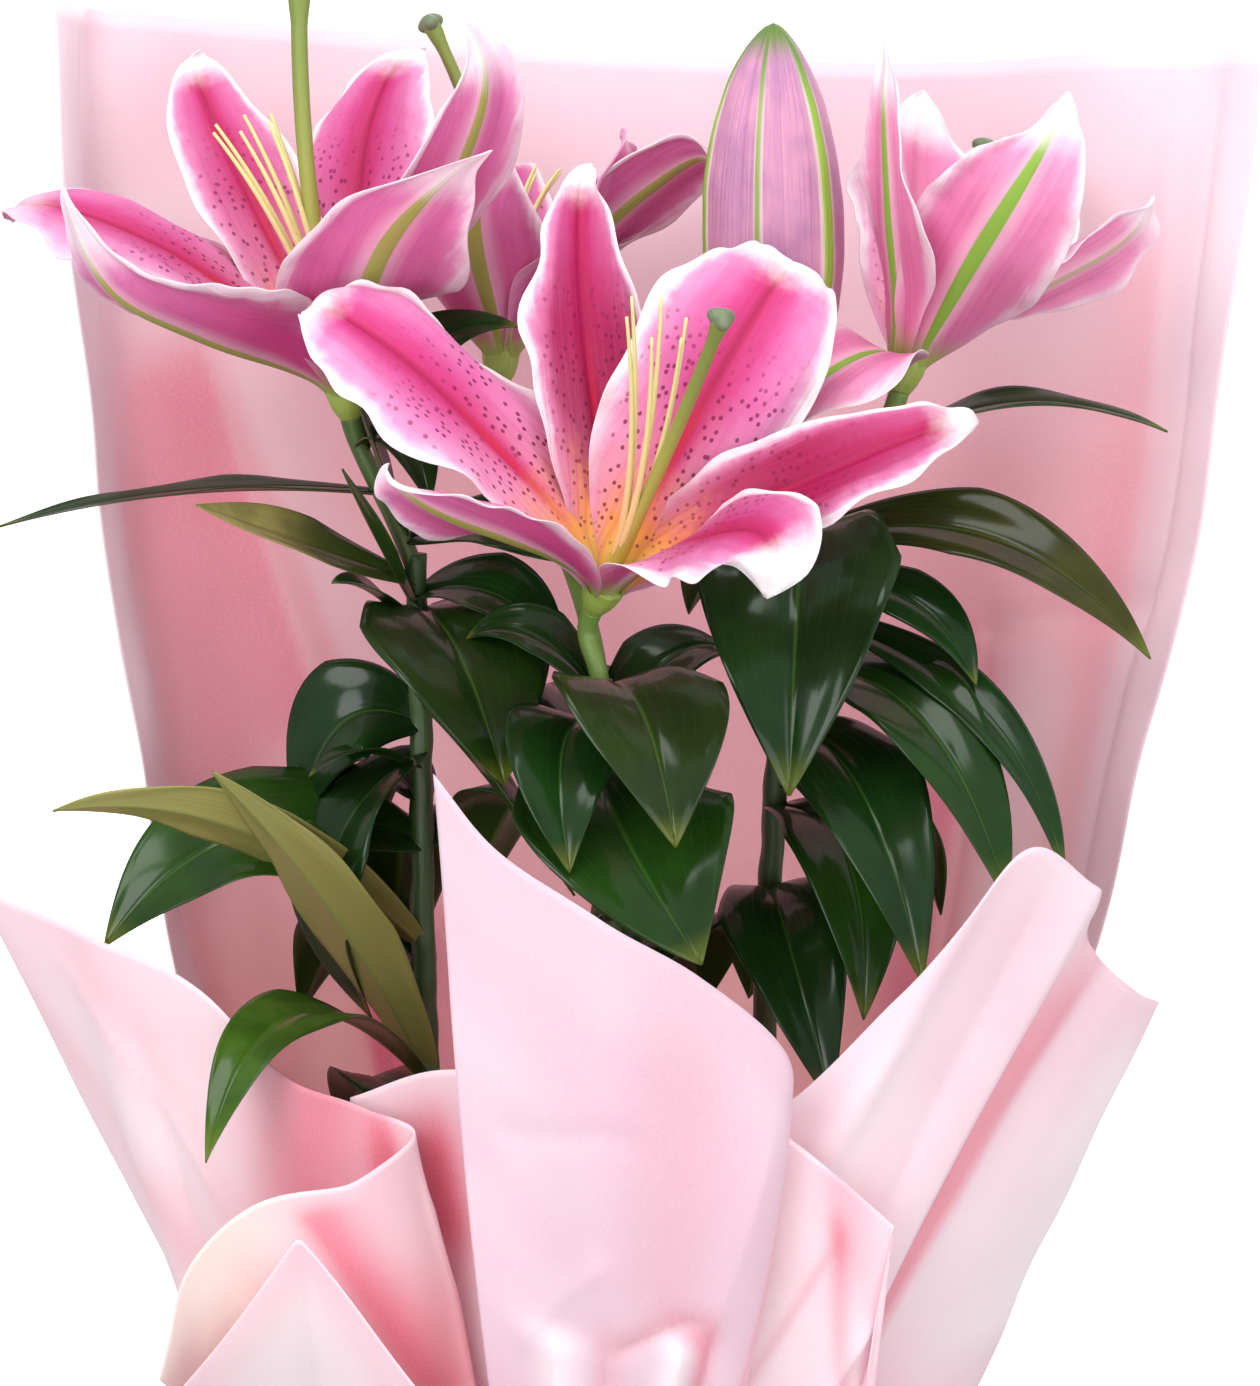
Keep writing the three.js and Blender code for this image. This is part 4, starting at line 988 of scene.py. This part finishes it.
def ribbon_part():
    """A flat satin band round the paper, with a few soft pleats along it."""
    low, high = TIE_LOW + 1, TIE_HIGH - 1
    turn = np.linspace(0, TAU, 240, endpoint=False)
    heights = np.linspace(0, 1, 16)
    H, A = np.meshgrid(heights, turn, indexing="ij")
    pleat = 0.35 * np.cos(TAU * 2.5 * H + 0.6 * np.sin(3 * A)) + 0.2 * ripple(A * 3, H * 2, 12)
    rings = []
    for shift, order in ((0.9, 1), (0.25, -1)):
        r = RIBBON_R + shift + pleat
        z = low + (high - low) * H
        rings.append(np.stack([r * np.cos(A), r * np.sin(A), z], -1)[::order])
    points = np.concatenate(rings + [rings[0][:1]])
    count = points.shape[0]
    values = dict(along=points[..., 2].reshape(-1), across=np.tile(turn, count))
    return points.reshape(-1, 3), grid_faces(count, len(turn), closed=True), values


def soil_part():
    def crumb(points):
        x, y, z = points[..., 0], points[..., 1], points[..., 2]
        r = np.hypot(x, y)
        top = ease(SOIL_TOP - 4, SOIL_TOP - 2.5, z)
        rough = 1.3 * ripple(x / 9, y / 9, 51) + 0.8 * ripple(x / 3.6, y / 3.6, 52)
        rough = rough + 0.5 * ripple(x / 1.6, y / 1.6, 53)
        for stem in STEMS.values():
            foot = stem["path"][1]
            rough = rough + 2.0 * np.exp(-(((x - foot[0]) ** 2 + (y - foot[1]) ** 2) / 90))
        z = z + top * (rough - 1.2) * ease(0, 3, POT_RIM_R - r)
        return np.stack([x, y, z], -1)

    inner = POT_BASE_R - POT_WALL - GAP
    wide = inner + POT_SLOPE * SOIL_EDGE_Z
    low = POT_WALL + GAP
    profile = [[0, low], [inner, low], [wide, SOIL_EDGE_Z]]
    profile += [[r, SOIL_TOP - 2 + 2 * (1 - r / wide)] for r in np.linspace(wide, 0.6, 70)]
    profile += [[0, SOIL_TOP]]
    return lathe(profile, 200, relief=crumb)


def pot_piece(material):
    lip, wall, rim = POT_LIP_Z, POT_SHOULDER_R, POT_RIM_R
    outside = [[0, 0], [POT_BASE_R - 8, 0], [POT_BASE_R - 1, 0], [POT_BASE_R, 1], [wall - 0.1, lip - 0.8]]
    outside += [[wall + 0.3, lip], [rim - 0.6, lip], [rim, lip + 0.6], [rim, POT_HEIGHT - 0.8]]
    inside = [[rim - 0.5, POT_HEIGHT], [rim - POT_WALL + 0.4, POT_HEIGHT], [rim - POT_WALL, POT_HEIGHT - 0.6]]
    inside += [[wall - POT_WALL, lip - POT_WALL], [POT_BASE_R - POT_WALL, POT_WALL]]
    profile = outside + inside + [[POT_BASE_R - 10, POT_WALL], [0, POT_WALL]]
    pot = piece("nursery_pot", [lathe(profile, 192)], ["pot"], material)
    holes = []
    for i in range(DRAIN_HOLES):
        turn = TAU * i / DRAIN_HOLES
        x, y = DRAIN_RING_R * math.cos(turn), DRAIN_RING_R * math.sin(turn)
        curve = bezier([[x, y, -POT_WALL], [x, y, 3 * POT_WALL]])
        holes.append(tube(curve, lambda t: DRAIN_R + 0 * t, 2, 32))
    cutter = placed("drain_cut", mesh_of("drain_cut", holes))
    cut = pot.modifiers.new("drain", "BOOLEAN")
    cut.object = cutter
    cut.operation = "DIFFERENCE"
    depsgraph = bpy.context.evaluated_depsgraph_get()
    result = bpy.data.meshes.new_from_object(pot.evaluated_get(depsgraph))
    pot.modifiers.clear()
    pot.data = result
    bpy.data.objects.remove(cutter)
    pot.data.set_sharp_from_angle(angle=math.radians(35))


# Materials


def rgb(code):
    """A colour from its six hex digits, as linear values."""
    values = [int(code[k : k + 2], 16) / 255 for k in (0, 2, 4)]
    return tuple(v / 12.92 if v <= 0.04045 else ((v + 0.055) / 1.055) ** 2.4 for v in values) + (1,)


class Shade:
    """A procedural material, built from the values at a mesh's points."""

    def __init__(self, name, **sockets):
        self.material = bpy.data.materials.new(name)
        self.material.use_nodes = True
        self.tree = self.material.node_tree
        self.shader = self.tree.nodes["Principled BSDF"]
        for key, value in sockets.items():
            self.shader.inputs[key.replace("_", " ")].default_value = value

    def feed(self, socket, value):
        if isinstance(value, bpy.types.NodeSocket):
            self.tree.links.new(value, socket)
        else:
            socket.default_value = value

    def add(self, kind, inputs, output=0, **settings):
        node = self.tree.nodes.new(kind)
        for key, value in settings.items():
            setattr(node, key, value)
        for key, value in inputs.items():
            self.feed(node.inputs[key], value)
        return node.outputs[output]

    def value(self, name):
        return self.add("ShaderNodeAttribute", {}, "Fac", attribute_name=name)

    def read(self, *names):
        return [self.value(name) for name in names]

    def math(self, operation, a, b=0.0):
        return self.add("ShaderNodeMath", {0: a, 1: b}, operation=operation)

    def times(self, *values):
        total = values[0]
        for value in values[1:]:
            total = self.math("MULTIPLY", total, value)
        return total

    def plus(self, a, b):
        return self.math("ADD", a, b)

    def ease(self, low, high, x):
        """0 at low, 1 at high and smooth between them; low may be the larger."""
        inputs = {"Value": x, "From Min": low, "From Max": high}
        return self.add("ShaderNodeMapRange", inputs, interpolation_type="SMOOTHSTEP")

    def at(self, x, y, z=0.0):
        return self.add("ShaderNodeCombineXYZ", {0: x, 1: y, 2: z})

    def noise(self, at, scale, detail=3.0, roughness=0.55):
        inputs = {"Vector": at, "Scale": scale, "Detail": detail, "Roughness": roughness}
        return self.add("ShaderNodeTexNoise", inputs)

    def mix(self, share, a, b):
        inputs = {0: share, 6: rgb(a) if isinstance(a, str) else a, 7: rgb(b) if isinstance(b, str) else b}
        return self.add("ShaderNodeMix", inputs, 2, data_type="RGBA")

    def layers(self, colour, *layers):
        """A colour with others over it, each with the share that shows."""
        for share, over in layers:
            colour = self.mix(share, colour, over)
        return colour

    def grain(self, scale, detail=3.0):
        return self.noise(self.add("ShaderNodeTexCoord", {}, "Object"), scale, detail)

    def finish(self, colour, rough, height, distance, strength):
        """Link the colour, the roughness as (least, share, value), and the bumps."""
        least, share, value = rough
        self.feed(self.shader.inputs["Base Color"], colour)
        self.feed(self.shader.inputs["Roughness"], self.plus(least, self.times(value, share)))
        inputs = {"Height": height, "Distance": distance, "Strength": strength}
        self.feed(self.shader.inputs["Normal"], self.add("ShaderNodeBump", inputs, "Normal"))
        return self.material


def tepal_material():
    m = Shade(
        "tepal",
        Subsurface_Weight=0.15,
        Subsurface_Scale=0.003,
        Subsurface_Radius=(1.0, 0.4, 0.55),
        Specular_IOR_Level=0.25,
    )
    t = m.value("along")
    e = m.math("ABSOLUTE", m.value("across"))
    run, off = m.read("run", "off")
    side, outer, young, deep = m.read("side", "outer", "young", "deep")
    flat = m.at(m.plus(run, m.times(outer, 310.0)), off)
    cloudy = m.noise(flat, 0.09)
    wander = m.plus(m.noise(flat, 0.2, 3.0), -0.5)
    vein = m.ease(0.4, 0.7, m.noise(m.at(m.times(run, 0.035), off, 3.0), 0.8, 2.0))
    streak = m.plus(vein, -0.5)
    body = m.times(m.ease(0.16, 0.4, t), m.ease(1.0, 0.8, t))
    shifted = m.plus(m.plus(e, m.times(wander, 0.16)), m.times(streak, 0.06))
    margin = m.times(m.ease(0.76, 1.0, shifted), m.ease(0.15, 0.45, t))
    tip = m.ease(0.76, 0.9, m.plus(t, m.times(wander, 0.06)))
    white = m.math("MAXIMUM", margin, tip)

    inside = m.layers(
        m.mix(m.ease(0.15, 0.75, shifted), "d2579c", "e087ba"),
        (m.times(m.ease(0.35, 0.7, cloudy), 0.5), "d85ca6"),
        (m.times(m.ease(0.55, 1.0, shifted), 0.8, m.plus(1.0, m.times(deep, -0.2))), "ebb2d0"),
        (m.times(m.ease(0.45, 0.04, shifted), body, m.plus(0.66, m.times(deep, 0.3))), "bd185a"),
    )
    crimson = m.times(m.ease(1.02, 0.5, shifted), body, deep, m.plus(0.7, m.times(m.ease(0.75, 0.5, t), 0.3)))
    inside = m.mix(crimson, inside, "990846")
    inside = m.mix(m.times(m.ease(0.1, 0.0, e), body, 0.8), inside, "9c0e42")
    pale = m.times(m.ease(0.55, 0.3, t), m.ease(0.95, 0.7, e), m.ease(0.04, 0.24, e))
    pale = m.times(pale, m.plus(1.0, m.times(deep, -0.8)))
    inside = m.mix(m.times(pale, 0.6), inside, "eeabc6")
    red = m.times(m.ease(0.55, 0.4, t), m.ease(0.09, 0.01, e), m.ease(0.2, 0.3, t))
    inside = m.mix(m.times(red, 0.7), inside, "cf2d44")
    throat = m.times(m.ease(0.38, 0.16, m.plus(t, m.times(wander, 0.14))), m.ease(1.0, 0.4, e))
    inside = m.layers(
        inside,
        (throat, "f0a457"),
        (m.times(m.ease(0.25, 0.1, t), m.ease(0.9, 0.2, e)), "f2d47c"),
        (m.ease(0.1, 0.03, t), "b4bf62"),
        (m.times(vein, 0.22), "b02a68"),
    )
    cell = {"Vector": flat, "Scale": 0.38, "Randomness": 1.0}
    spots = m.add("ShaderNodeTexVoronoi", cell, "Distance", voronoi_dimensions="2D")
    tint = m.add("ShaderNodeTexVoronoi", cell, "Color", voronoi_dimensions="2D")
    chosen = m.ease(0.3, 0.36, m.add("ShaderNodeSeparateColor", {0: tint}))
    zone = m.times(m.ease(0.1, 0.2, t), m.ease(0.68, 0.5, m.plus(t, m.times(wander, 0.2))))
    zone = m.times(zone, m.ease(0.88, 0.7, e), m.ease(0.05, 0.16, e), m.plus(1.0, m.times(deep, -0.35)))
    spot = m.times(m.ease(0.24, 0.14, spots), chosen, zone)
    inside = m.layers(
        inside,
        (m.times(spot, 0.9), "720a3c"),
        (m.times(young, 0.5), "e39cbf"),
        (m.times(white, m.value("snow")), "f4edf0"),
    )

    outside = m.mix(young, "dc78ac", "ef98be")
    outside = m.mix(m.times(m.ease(0.3, 0.75, cloudy), 0.5), outside, m.mix(young, "c5629c", "dc76a8"))
    flush = m.times(m.ease(0.85, 0.3, t), m.ease(0.06, 0.4, e), m.plus(0.45, m.times(deep, 0.5)))
    outside = m.layers(
        outside,
        (flush, m.mix(young, "cc3f83", "cc5890")),
        (m.times(vein, 0.25), "b9528f"),
        (m.times(m.ease(0.35, 0.1, e), 0.45), "eec6d2"),
        (m.times(m.ease(0.6, 1.0, shifted), 0.35), "f0bdd6"),
    )
    wide = m.plus(0.05, m.times(outer, 0.035))
    green = m.times(m.ease(m.plus(wide, 0.03), wide, e), m.ease(1.0, 0.93, t))
    outside = m.layers(
        outside,
        (m.times(green, m.plus(0.5, m.times(outer, 0.45))), m.mix(young, "9a9c48", "7fae32")),
        (m.ease(0.22, 0.03, t), "9aab50"),
        (m.times(white, m.value("snow"), 0.8), "f3e4ea"),
    )

    height = m.plus(m.times(vein, -0.35), m.times(spot, side))
    return m.finish(m.mix(side, outside, inside), (0.46, 0.14, cloudy), height, 0.0005, 0.5)


def leaf_material():
    m = Shade("leaf", Coat_Weight=0.45, Coat_Roughness=0.14, Specular_IOR_Level=0.05)
    t, s, tone, side = m.read("along", "across", "tone", "side")
    run, off = m.read("run", "off")
    flat = m.at(run, off, m.times(tone, 40.0))
    cloudy = m.noise(flat, 0.05)
    e = m.math("ABSOLUTE", s)
    lines = m.math("ABSOLUTE", m.math("SINE", m.times(s, TAU * 3.5)))
    veins = m.times(m.ease(0.2, 0.0, lines), m.ease(1.0, 0.85, e))
    fine = m.noise(m.at(m.times(run, 0.03), off), 2.2, 2.0)
    ramp = m.add("ShaderNodeValToRGB", {0: tone}, "Color")
    stops = ramp.node.color_ramp.elements
    stops[0].position, stops[0].color = 0.0, rgb("b3ad66")
    stops[1].position, stops[1].color = 1.0, rgb("6f8c26")
    for place, code in ((0.25, "3c3c12"), (0.5, "163810"), (0.75, "2e5412")):
        stop = stops.new(place)
        stop.color = rgb(code)
    dark = m.mix(0.5, ramp, "081c07")
    olive = m.ease(0.2, 0.08, tone)
    upper = m.layers(
        m.mix(m.ease(0.3, 0.7, cloudy), ramp, dark),
        (m.times(m.ease(0.6, 0.1, t), 0.6), "10240a"),
        (m.times(m.ease(0.75, 0.25, t), olive, 0.85), "2b4014"),
        (m.times(veins, 0.05), "5f8a3c"),
        (m.times(m.ease(0.04, 0.0, e), 0.25), "5f8a3a"),
        (m.times(m.ease(0.9, 1.0, t), 0.6), "6d7826"),
    )
    under = m.mix(0.3, ramp, "4c5c28")
    under = m.mix(m.times(m.ease(0.08, 0.0, e), 0.5), under, "77904a")
    height = m.plus(m.times(veins, -0.6), m.times(fine, 0.3))
    return m.finish(m.mix(side, under, upper), (0.28, 0.16, cloudy), height, 0.0003, 0.5)


def stem_material():
    m = Shade("stem", Coat_Weight=0.1, Coat_Roughness=0.3)
    t, turn, young = m.read("along", "across", "young")
    lines = m.noise(m.at(m.times(turn, 60.0), m.times(t, 9.0)), 1.0, 2.0)
    green = m.mix(lines, "2b421d", "456030")
    green = m.mix(m.times(m.ease(0.35, 0.0, t), 0.6), green, "5a5233")
    fresh = m.mix(lines, "5f8038", "86a54e")
    return m.finish(m.mix(young, green, fresh), (0.36, 0.15, lines), lines, 0.0003, 0.5)


def cup_material():
    m = Shade("receptacle", Subsurface_Weight=0.1, Subsurface_Scale=0.003)
    t, turn = m.read("along", "across")
    lines = m.noise(m.at(m.times(turn, 40.0), m.times(t, 3.0)), 1.0, 2.0)
    return m.finish(m.mix(lines, "86a03c", "b3c065"), (0.4, 0.1, lines), lines, 0.0003, 0.4)


def pistil_material():
    m = Shade("pistil", Subsurface_Weight=0.15, Subsurface_Scale=0.003)
    t, kind, turn = m.read("along", "kind", "across")
    grain = m.noise(m.at(m.times(t, 30.0), m.times(turn, 8.0)), 1.0)
    style = m.mix(m.ease(0.1, 0.95, t), "b3b555", "76873a")
    filament = m.mix(m.ease(0.1, 1.0, t), "ecd79b", "dcd892")
    stigma = m.mix(grain, "56654a", "7c8a66")
    thread = m.mix(m.ease(0.75, 1.0, kind), stigma, filament)
    return m.finish(m.mix(m.ease(0.05, 0.3, kind), style, thread), (0.38, 0.2, grain), grain, 0.0003, 0.4)


def bud_material():
    m = Shade("bud", Subsurface_Weight=0.15, Subsurface_Scale=0.004, Subsurface_Radius=(1.0, 0.4, 0.5))
    t, rib, fine, groove = m.read("along", "rib", "fine_rib", "groove")
    run, off = m.read("run", "off")
    vein = m.ease(0.4, 0.68, m.noise(m.at(m.times(run, 0.03), off), 0.9, 2.0))
    cloudy = m.noise(m.at(run, off), 0.06)
    skin = m.layers(
        m.mix(m.ease(0.35, 0.65, cloudy), "b57fa6", "cf93b0"),
        (m.times(vein, 0.3), "c47fb0"),
        (m.times(groove, 0.4), "b879ac"),
        (m.times(m.ease(0.005, 0.3, rib), 0.75), "eed9d2"),
        (m.ease(0.28, 0.6, rib), "93b944"),
        (m.times(m.ease(0.01, 0.3, fine), 0.55), "eed5da"),
        (m.times(m.ease(0.35, 0.7, fine), 0.95), "8ea64c"),
    )
    green = m.times(m.ease(0.78, 0.97, t), m.ease(0.02, 0.3, m.plus(rib, fine)))
    green = m.math("MAXIMUM", m.ease(0.9, 0.985, t), green)
    skin = m.mix(green, skin, "63813a")
    skin = m.mix(m.ease(0.14, 0.0, t), skin, "9fae5c")
    return m.finish(skin, (0.4, 0.1, cloudy), m.times(vein, -1.0), 0.0004, 0.5)


def paper_material():
    m = Shade(
        "paper",
        Sheen_Weight=0.08,
        Sheen_Roughness=0.5,
        Specular_IOR_Level=0.3,
        Subsurface_Weight=0.3,
        Subsurface_Scale=0.006,
        Subsurface_Radius=(1.0, 0.45, 0.55),
    )
    run, off, side, up = m.read("along", "across", "side", "up")
    flat = m.at(run, off)
    cloudy = m.noise(flat, 0.012, 2.0)
    fibre = m.noise(flat, 1.1, 4.0, 0.7)
    outside = m.mix(m.ease(0.35, 0.65, cloudy), "fddae6", "fbccda")
    # Darker lilac paper on the sheets that face the lamps: partly a lilac hue, partly painted shade that
    # tones down the light they get.
    outside = m.mix(m.value("lilac"), outside, m.mix(m.ease(0.3, 0.7, cloudy), "dfbccb", "dab0c2"))
    # Painted shade: on the sheets that ask for it the outside turns deeper pink towards the bottom, where the
    # folds lie in shade.
    outside = m.mix(m.times(m.ease(0.85, 0.3, up), m.value("blush"), 0.8), outside, "f29cae")
    inside = m.mix(m.ease(0.35, 0.65, cloudy), "fbd8e3", "f9ccd9")
    # The inside is paler at the top, painted as lit from behind through the film, and rosier lower down,
    # partly the film's own colour and partly painted shade.
    inside = m.mix(m.ease(0.92, 0.72, up), inside, "f2a9b1")
    # Painted shade: salmon low on the inside of the back sheet, the warm colour of shade lit by light bounced
    # off the pink paper.
    inside = m.mix(m.value("warm"), inside, "ffb3ac")
    skin = m.layers(
        m.mix(side, outside, inside),
        # Painted shade in deep rose along folds and under edges, then painted highlight in near white on
        # ridges.
        (m.value("rose"), "df6a7c"),
        (m.value("white"), "ffe9f1"),
        # Painted light: paler lilac at the back sheet's side edges, shown lit and lit through.
        (m.times(m.value("strip"), 0.75), "f7dfec"),
        (m.times(m.value("cream"), 0.9), "fee8dc"),
    )
    skin = m.mix(m.times(m.ease(0.45, 0.7, fibre), 0.12), skin, "fdeaf1")
    return m.finish(skin, (0.5, 0.12, fibre), fibre, 0.0002, 0.35)


def soil_material():
    m = Shade("compost", Specular_IOR_Level=0.2)
    grain = m.grain(420.0, 4.0)
    clod = m.grain(90.0, 4.0)
    speck = m.ease(0.7, 0.75, m.grain(260.0, 1.0))
    earth = m.mix(speck, m.mix(grain, "1f150f", "4d3826"), "cfc8ba")
    return m.finish(earth, (0.82, 0.15, grain), m.plus(grain, clod), 0.002, 0.9)


def plastic_material():
    m = Shade("pot_plastic", Specular_IOR_Level=0.4)
    grain = m.grain(900.0, 2.0)
    dust = m.ease(0.5, 0.8, m.grain(30.0, 4.0))
    black = m.mix(m.times(dust, 0.35), m.mix(grain, "242426", "303033"), "5a5046")
    return m.finish(black, (0.42, 0.25, dust), grain, 0.0002, 0.4)


def bulb_material():
    m = Shade("bulb_scale", Subsurface_Weight=0.1, Subsurface_Scale=0.004)
    scale = m.grain(70.0)
    return m.finish(m.mix(scale, "e7d9bb", "cbb283"), (0.5, 0.1, scale), scale, 0.002, 0.5)


def ribbon_material():
    m = Shade("ribbon_satin", Sheen_Weight=0.4, Sheen_Roughness=0.3)
    weave = m.grain(1400.0, 2.0)
    return m.finish(m.mix(weave, "e79db5", "f2b7ca"), (0.3, 0.15, weave), weave, 0.0001, 0.4)


# The pieces

leaf_skin, stem_skin = leaf_material(), stem_material()
for name, stem in STEMS.items():
    stem_pieces(name, stem, leaf_skin, stem_skin)
tepal_skin, cup_skin, pistil_skin = tepal_material(), cup_material(), pistil_material()
for name, bloom in BLOOMS.items():
    bloom_pieces(name, bloom, tepal_skin, cup_skin, pistil_skin)
piece("closed_bud", [bud_part()], ["bud"], bud_material())
paper = paper_material()
for name, sheet in SHEETS.items():
    piece(name.replace("wrap", "paper"), [sheet_part(name, sheet)], [name], paper)
piece("tie_ribbon", [ribbon_part()], ["ribbon"], ribbon_material())
piece("compost", [soil_part()], ["soil"], soil_material())
pot_piece(plastic_material())
bulb_skin = bulb_material()
for name in STEMS:
    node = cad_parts["bulb_" + name]
    node.data.materials.clear()
    node.data.materials.append(bulb_skin)


# Floor, light and camera


WHITE = (1, 1, 1, 1)
GLOW = 0.68


def pale_floor():
    """A wide pale floor. It shines a little, so that it fills the frame with white."""
    turn = np.linspace(0, TAU, 96, endpoint=False)
    rings = np.array([0.5, 1, 2, 4, 8, 16, 40, 120])
    x, y = rings[:, None] * np.cos(turn), rings[:, None] * np.sin(turn)
    points = np.stack([x, y, 0 * x], -1)
    flat = np.concatenate([points.reshape(-1, 3), [[0, 0, 0]]])
    faces = grid_faces(len(rings), len(turn), closed=True)[:, ::-1].tolist()
    faces += [[len(flat) - 1, j, (j + 1) % len(turn)] for j in range(len(turn))]
    mesh = bpy.data.meshes.new("floor")
    mesh.from_pydata(flat.tolist(), [], faces)
    skin = Shade("pale_floor", Base_Color=rgb("f2f1f0"), Roughness=0.9, Specular_IOR_Level=0.1)
    skin.shader.inputs["Emission Color"].default_value = WHITE
    skin.shader.inputs["Emission Strength"].default_value = GLOW
    mesh.materials.append(skin.material)
    floor = placed("floor", mesh)
    floor.location = (0, 0, -0.0005)
    floor.visible_diffuse = False
    floor.visible_glossy = False


def area_light(name, place, target, size, power):
    data = bpy.data.lights.new(name, "AREA")
    data.shape = "DISK"
    data.size = size
    data.energy = power
    aim(placed(name, data), place, target)


def aim(thing, place, target):
    thing.location = place
    thing.rotation_euler = (Vector(target) - Vector(place)).to_track_quat("-Z", "Y").to_euler()


pale_floor()
area_light("key", (-1.0, -1.7, 1.5), (0, 0, 0.38), 1.2, 22)
area_light("fill", (1.6, -1.5, 0.8), (0, 0, 0.33), 1.8, 18)
area_light("top", (0.0, -0.5, 2.3), (0, 0, 0.35), 1.2, 18)
area_light("back", (0.4, 2.2, 1.2), (0, 0, 0.35), 1.8, 22)
area_light("low", (-0.3, -1.9, 0.12), (0, 0, 0.2), 1.4, 12)
world = bpy.data.worlds.new("studio")
world.use_nodes = True
sky = world.node_tree.nodes["Background"]
sky.inputs["Color"].default_value = WHITE
sky.inputs["Strength"].default_value = GLOW
scene = bpy.context.scene
scene.world = world
scene.view_settings.view_transform = "Standard"

# The camera stands 1.6 m from the point at the middle of its frame, 8 degrees above it.
TARGET = (0.011, 0.0, 0.381)
DISTANCE = 1.6
ELEVATION = math.radians(8)
HALF_FRAME = 0.19404
camera_data = bpy.data.cameras.new("camera")
camera_data.sensor_width = 36
camera_data.lens = 18 / (HALF_FRAME / DISTANCE)
camera = placed("camera", camera_data)
back, up = DISTANCE * math.cos(ELEVATION), DISTANCE * math.sin(ELEVATION)
eye = (TARGET[0], TARGET[1] - back, TARGET[2] + up)
aim(camera, eye, TARGET)
scene.camera = camera
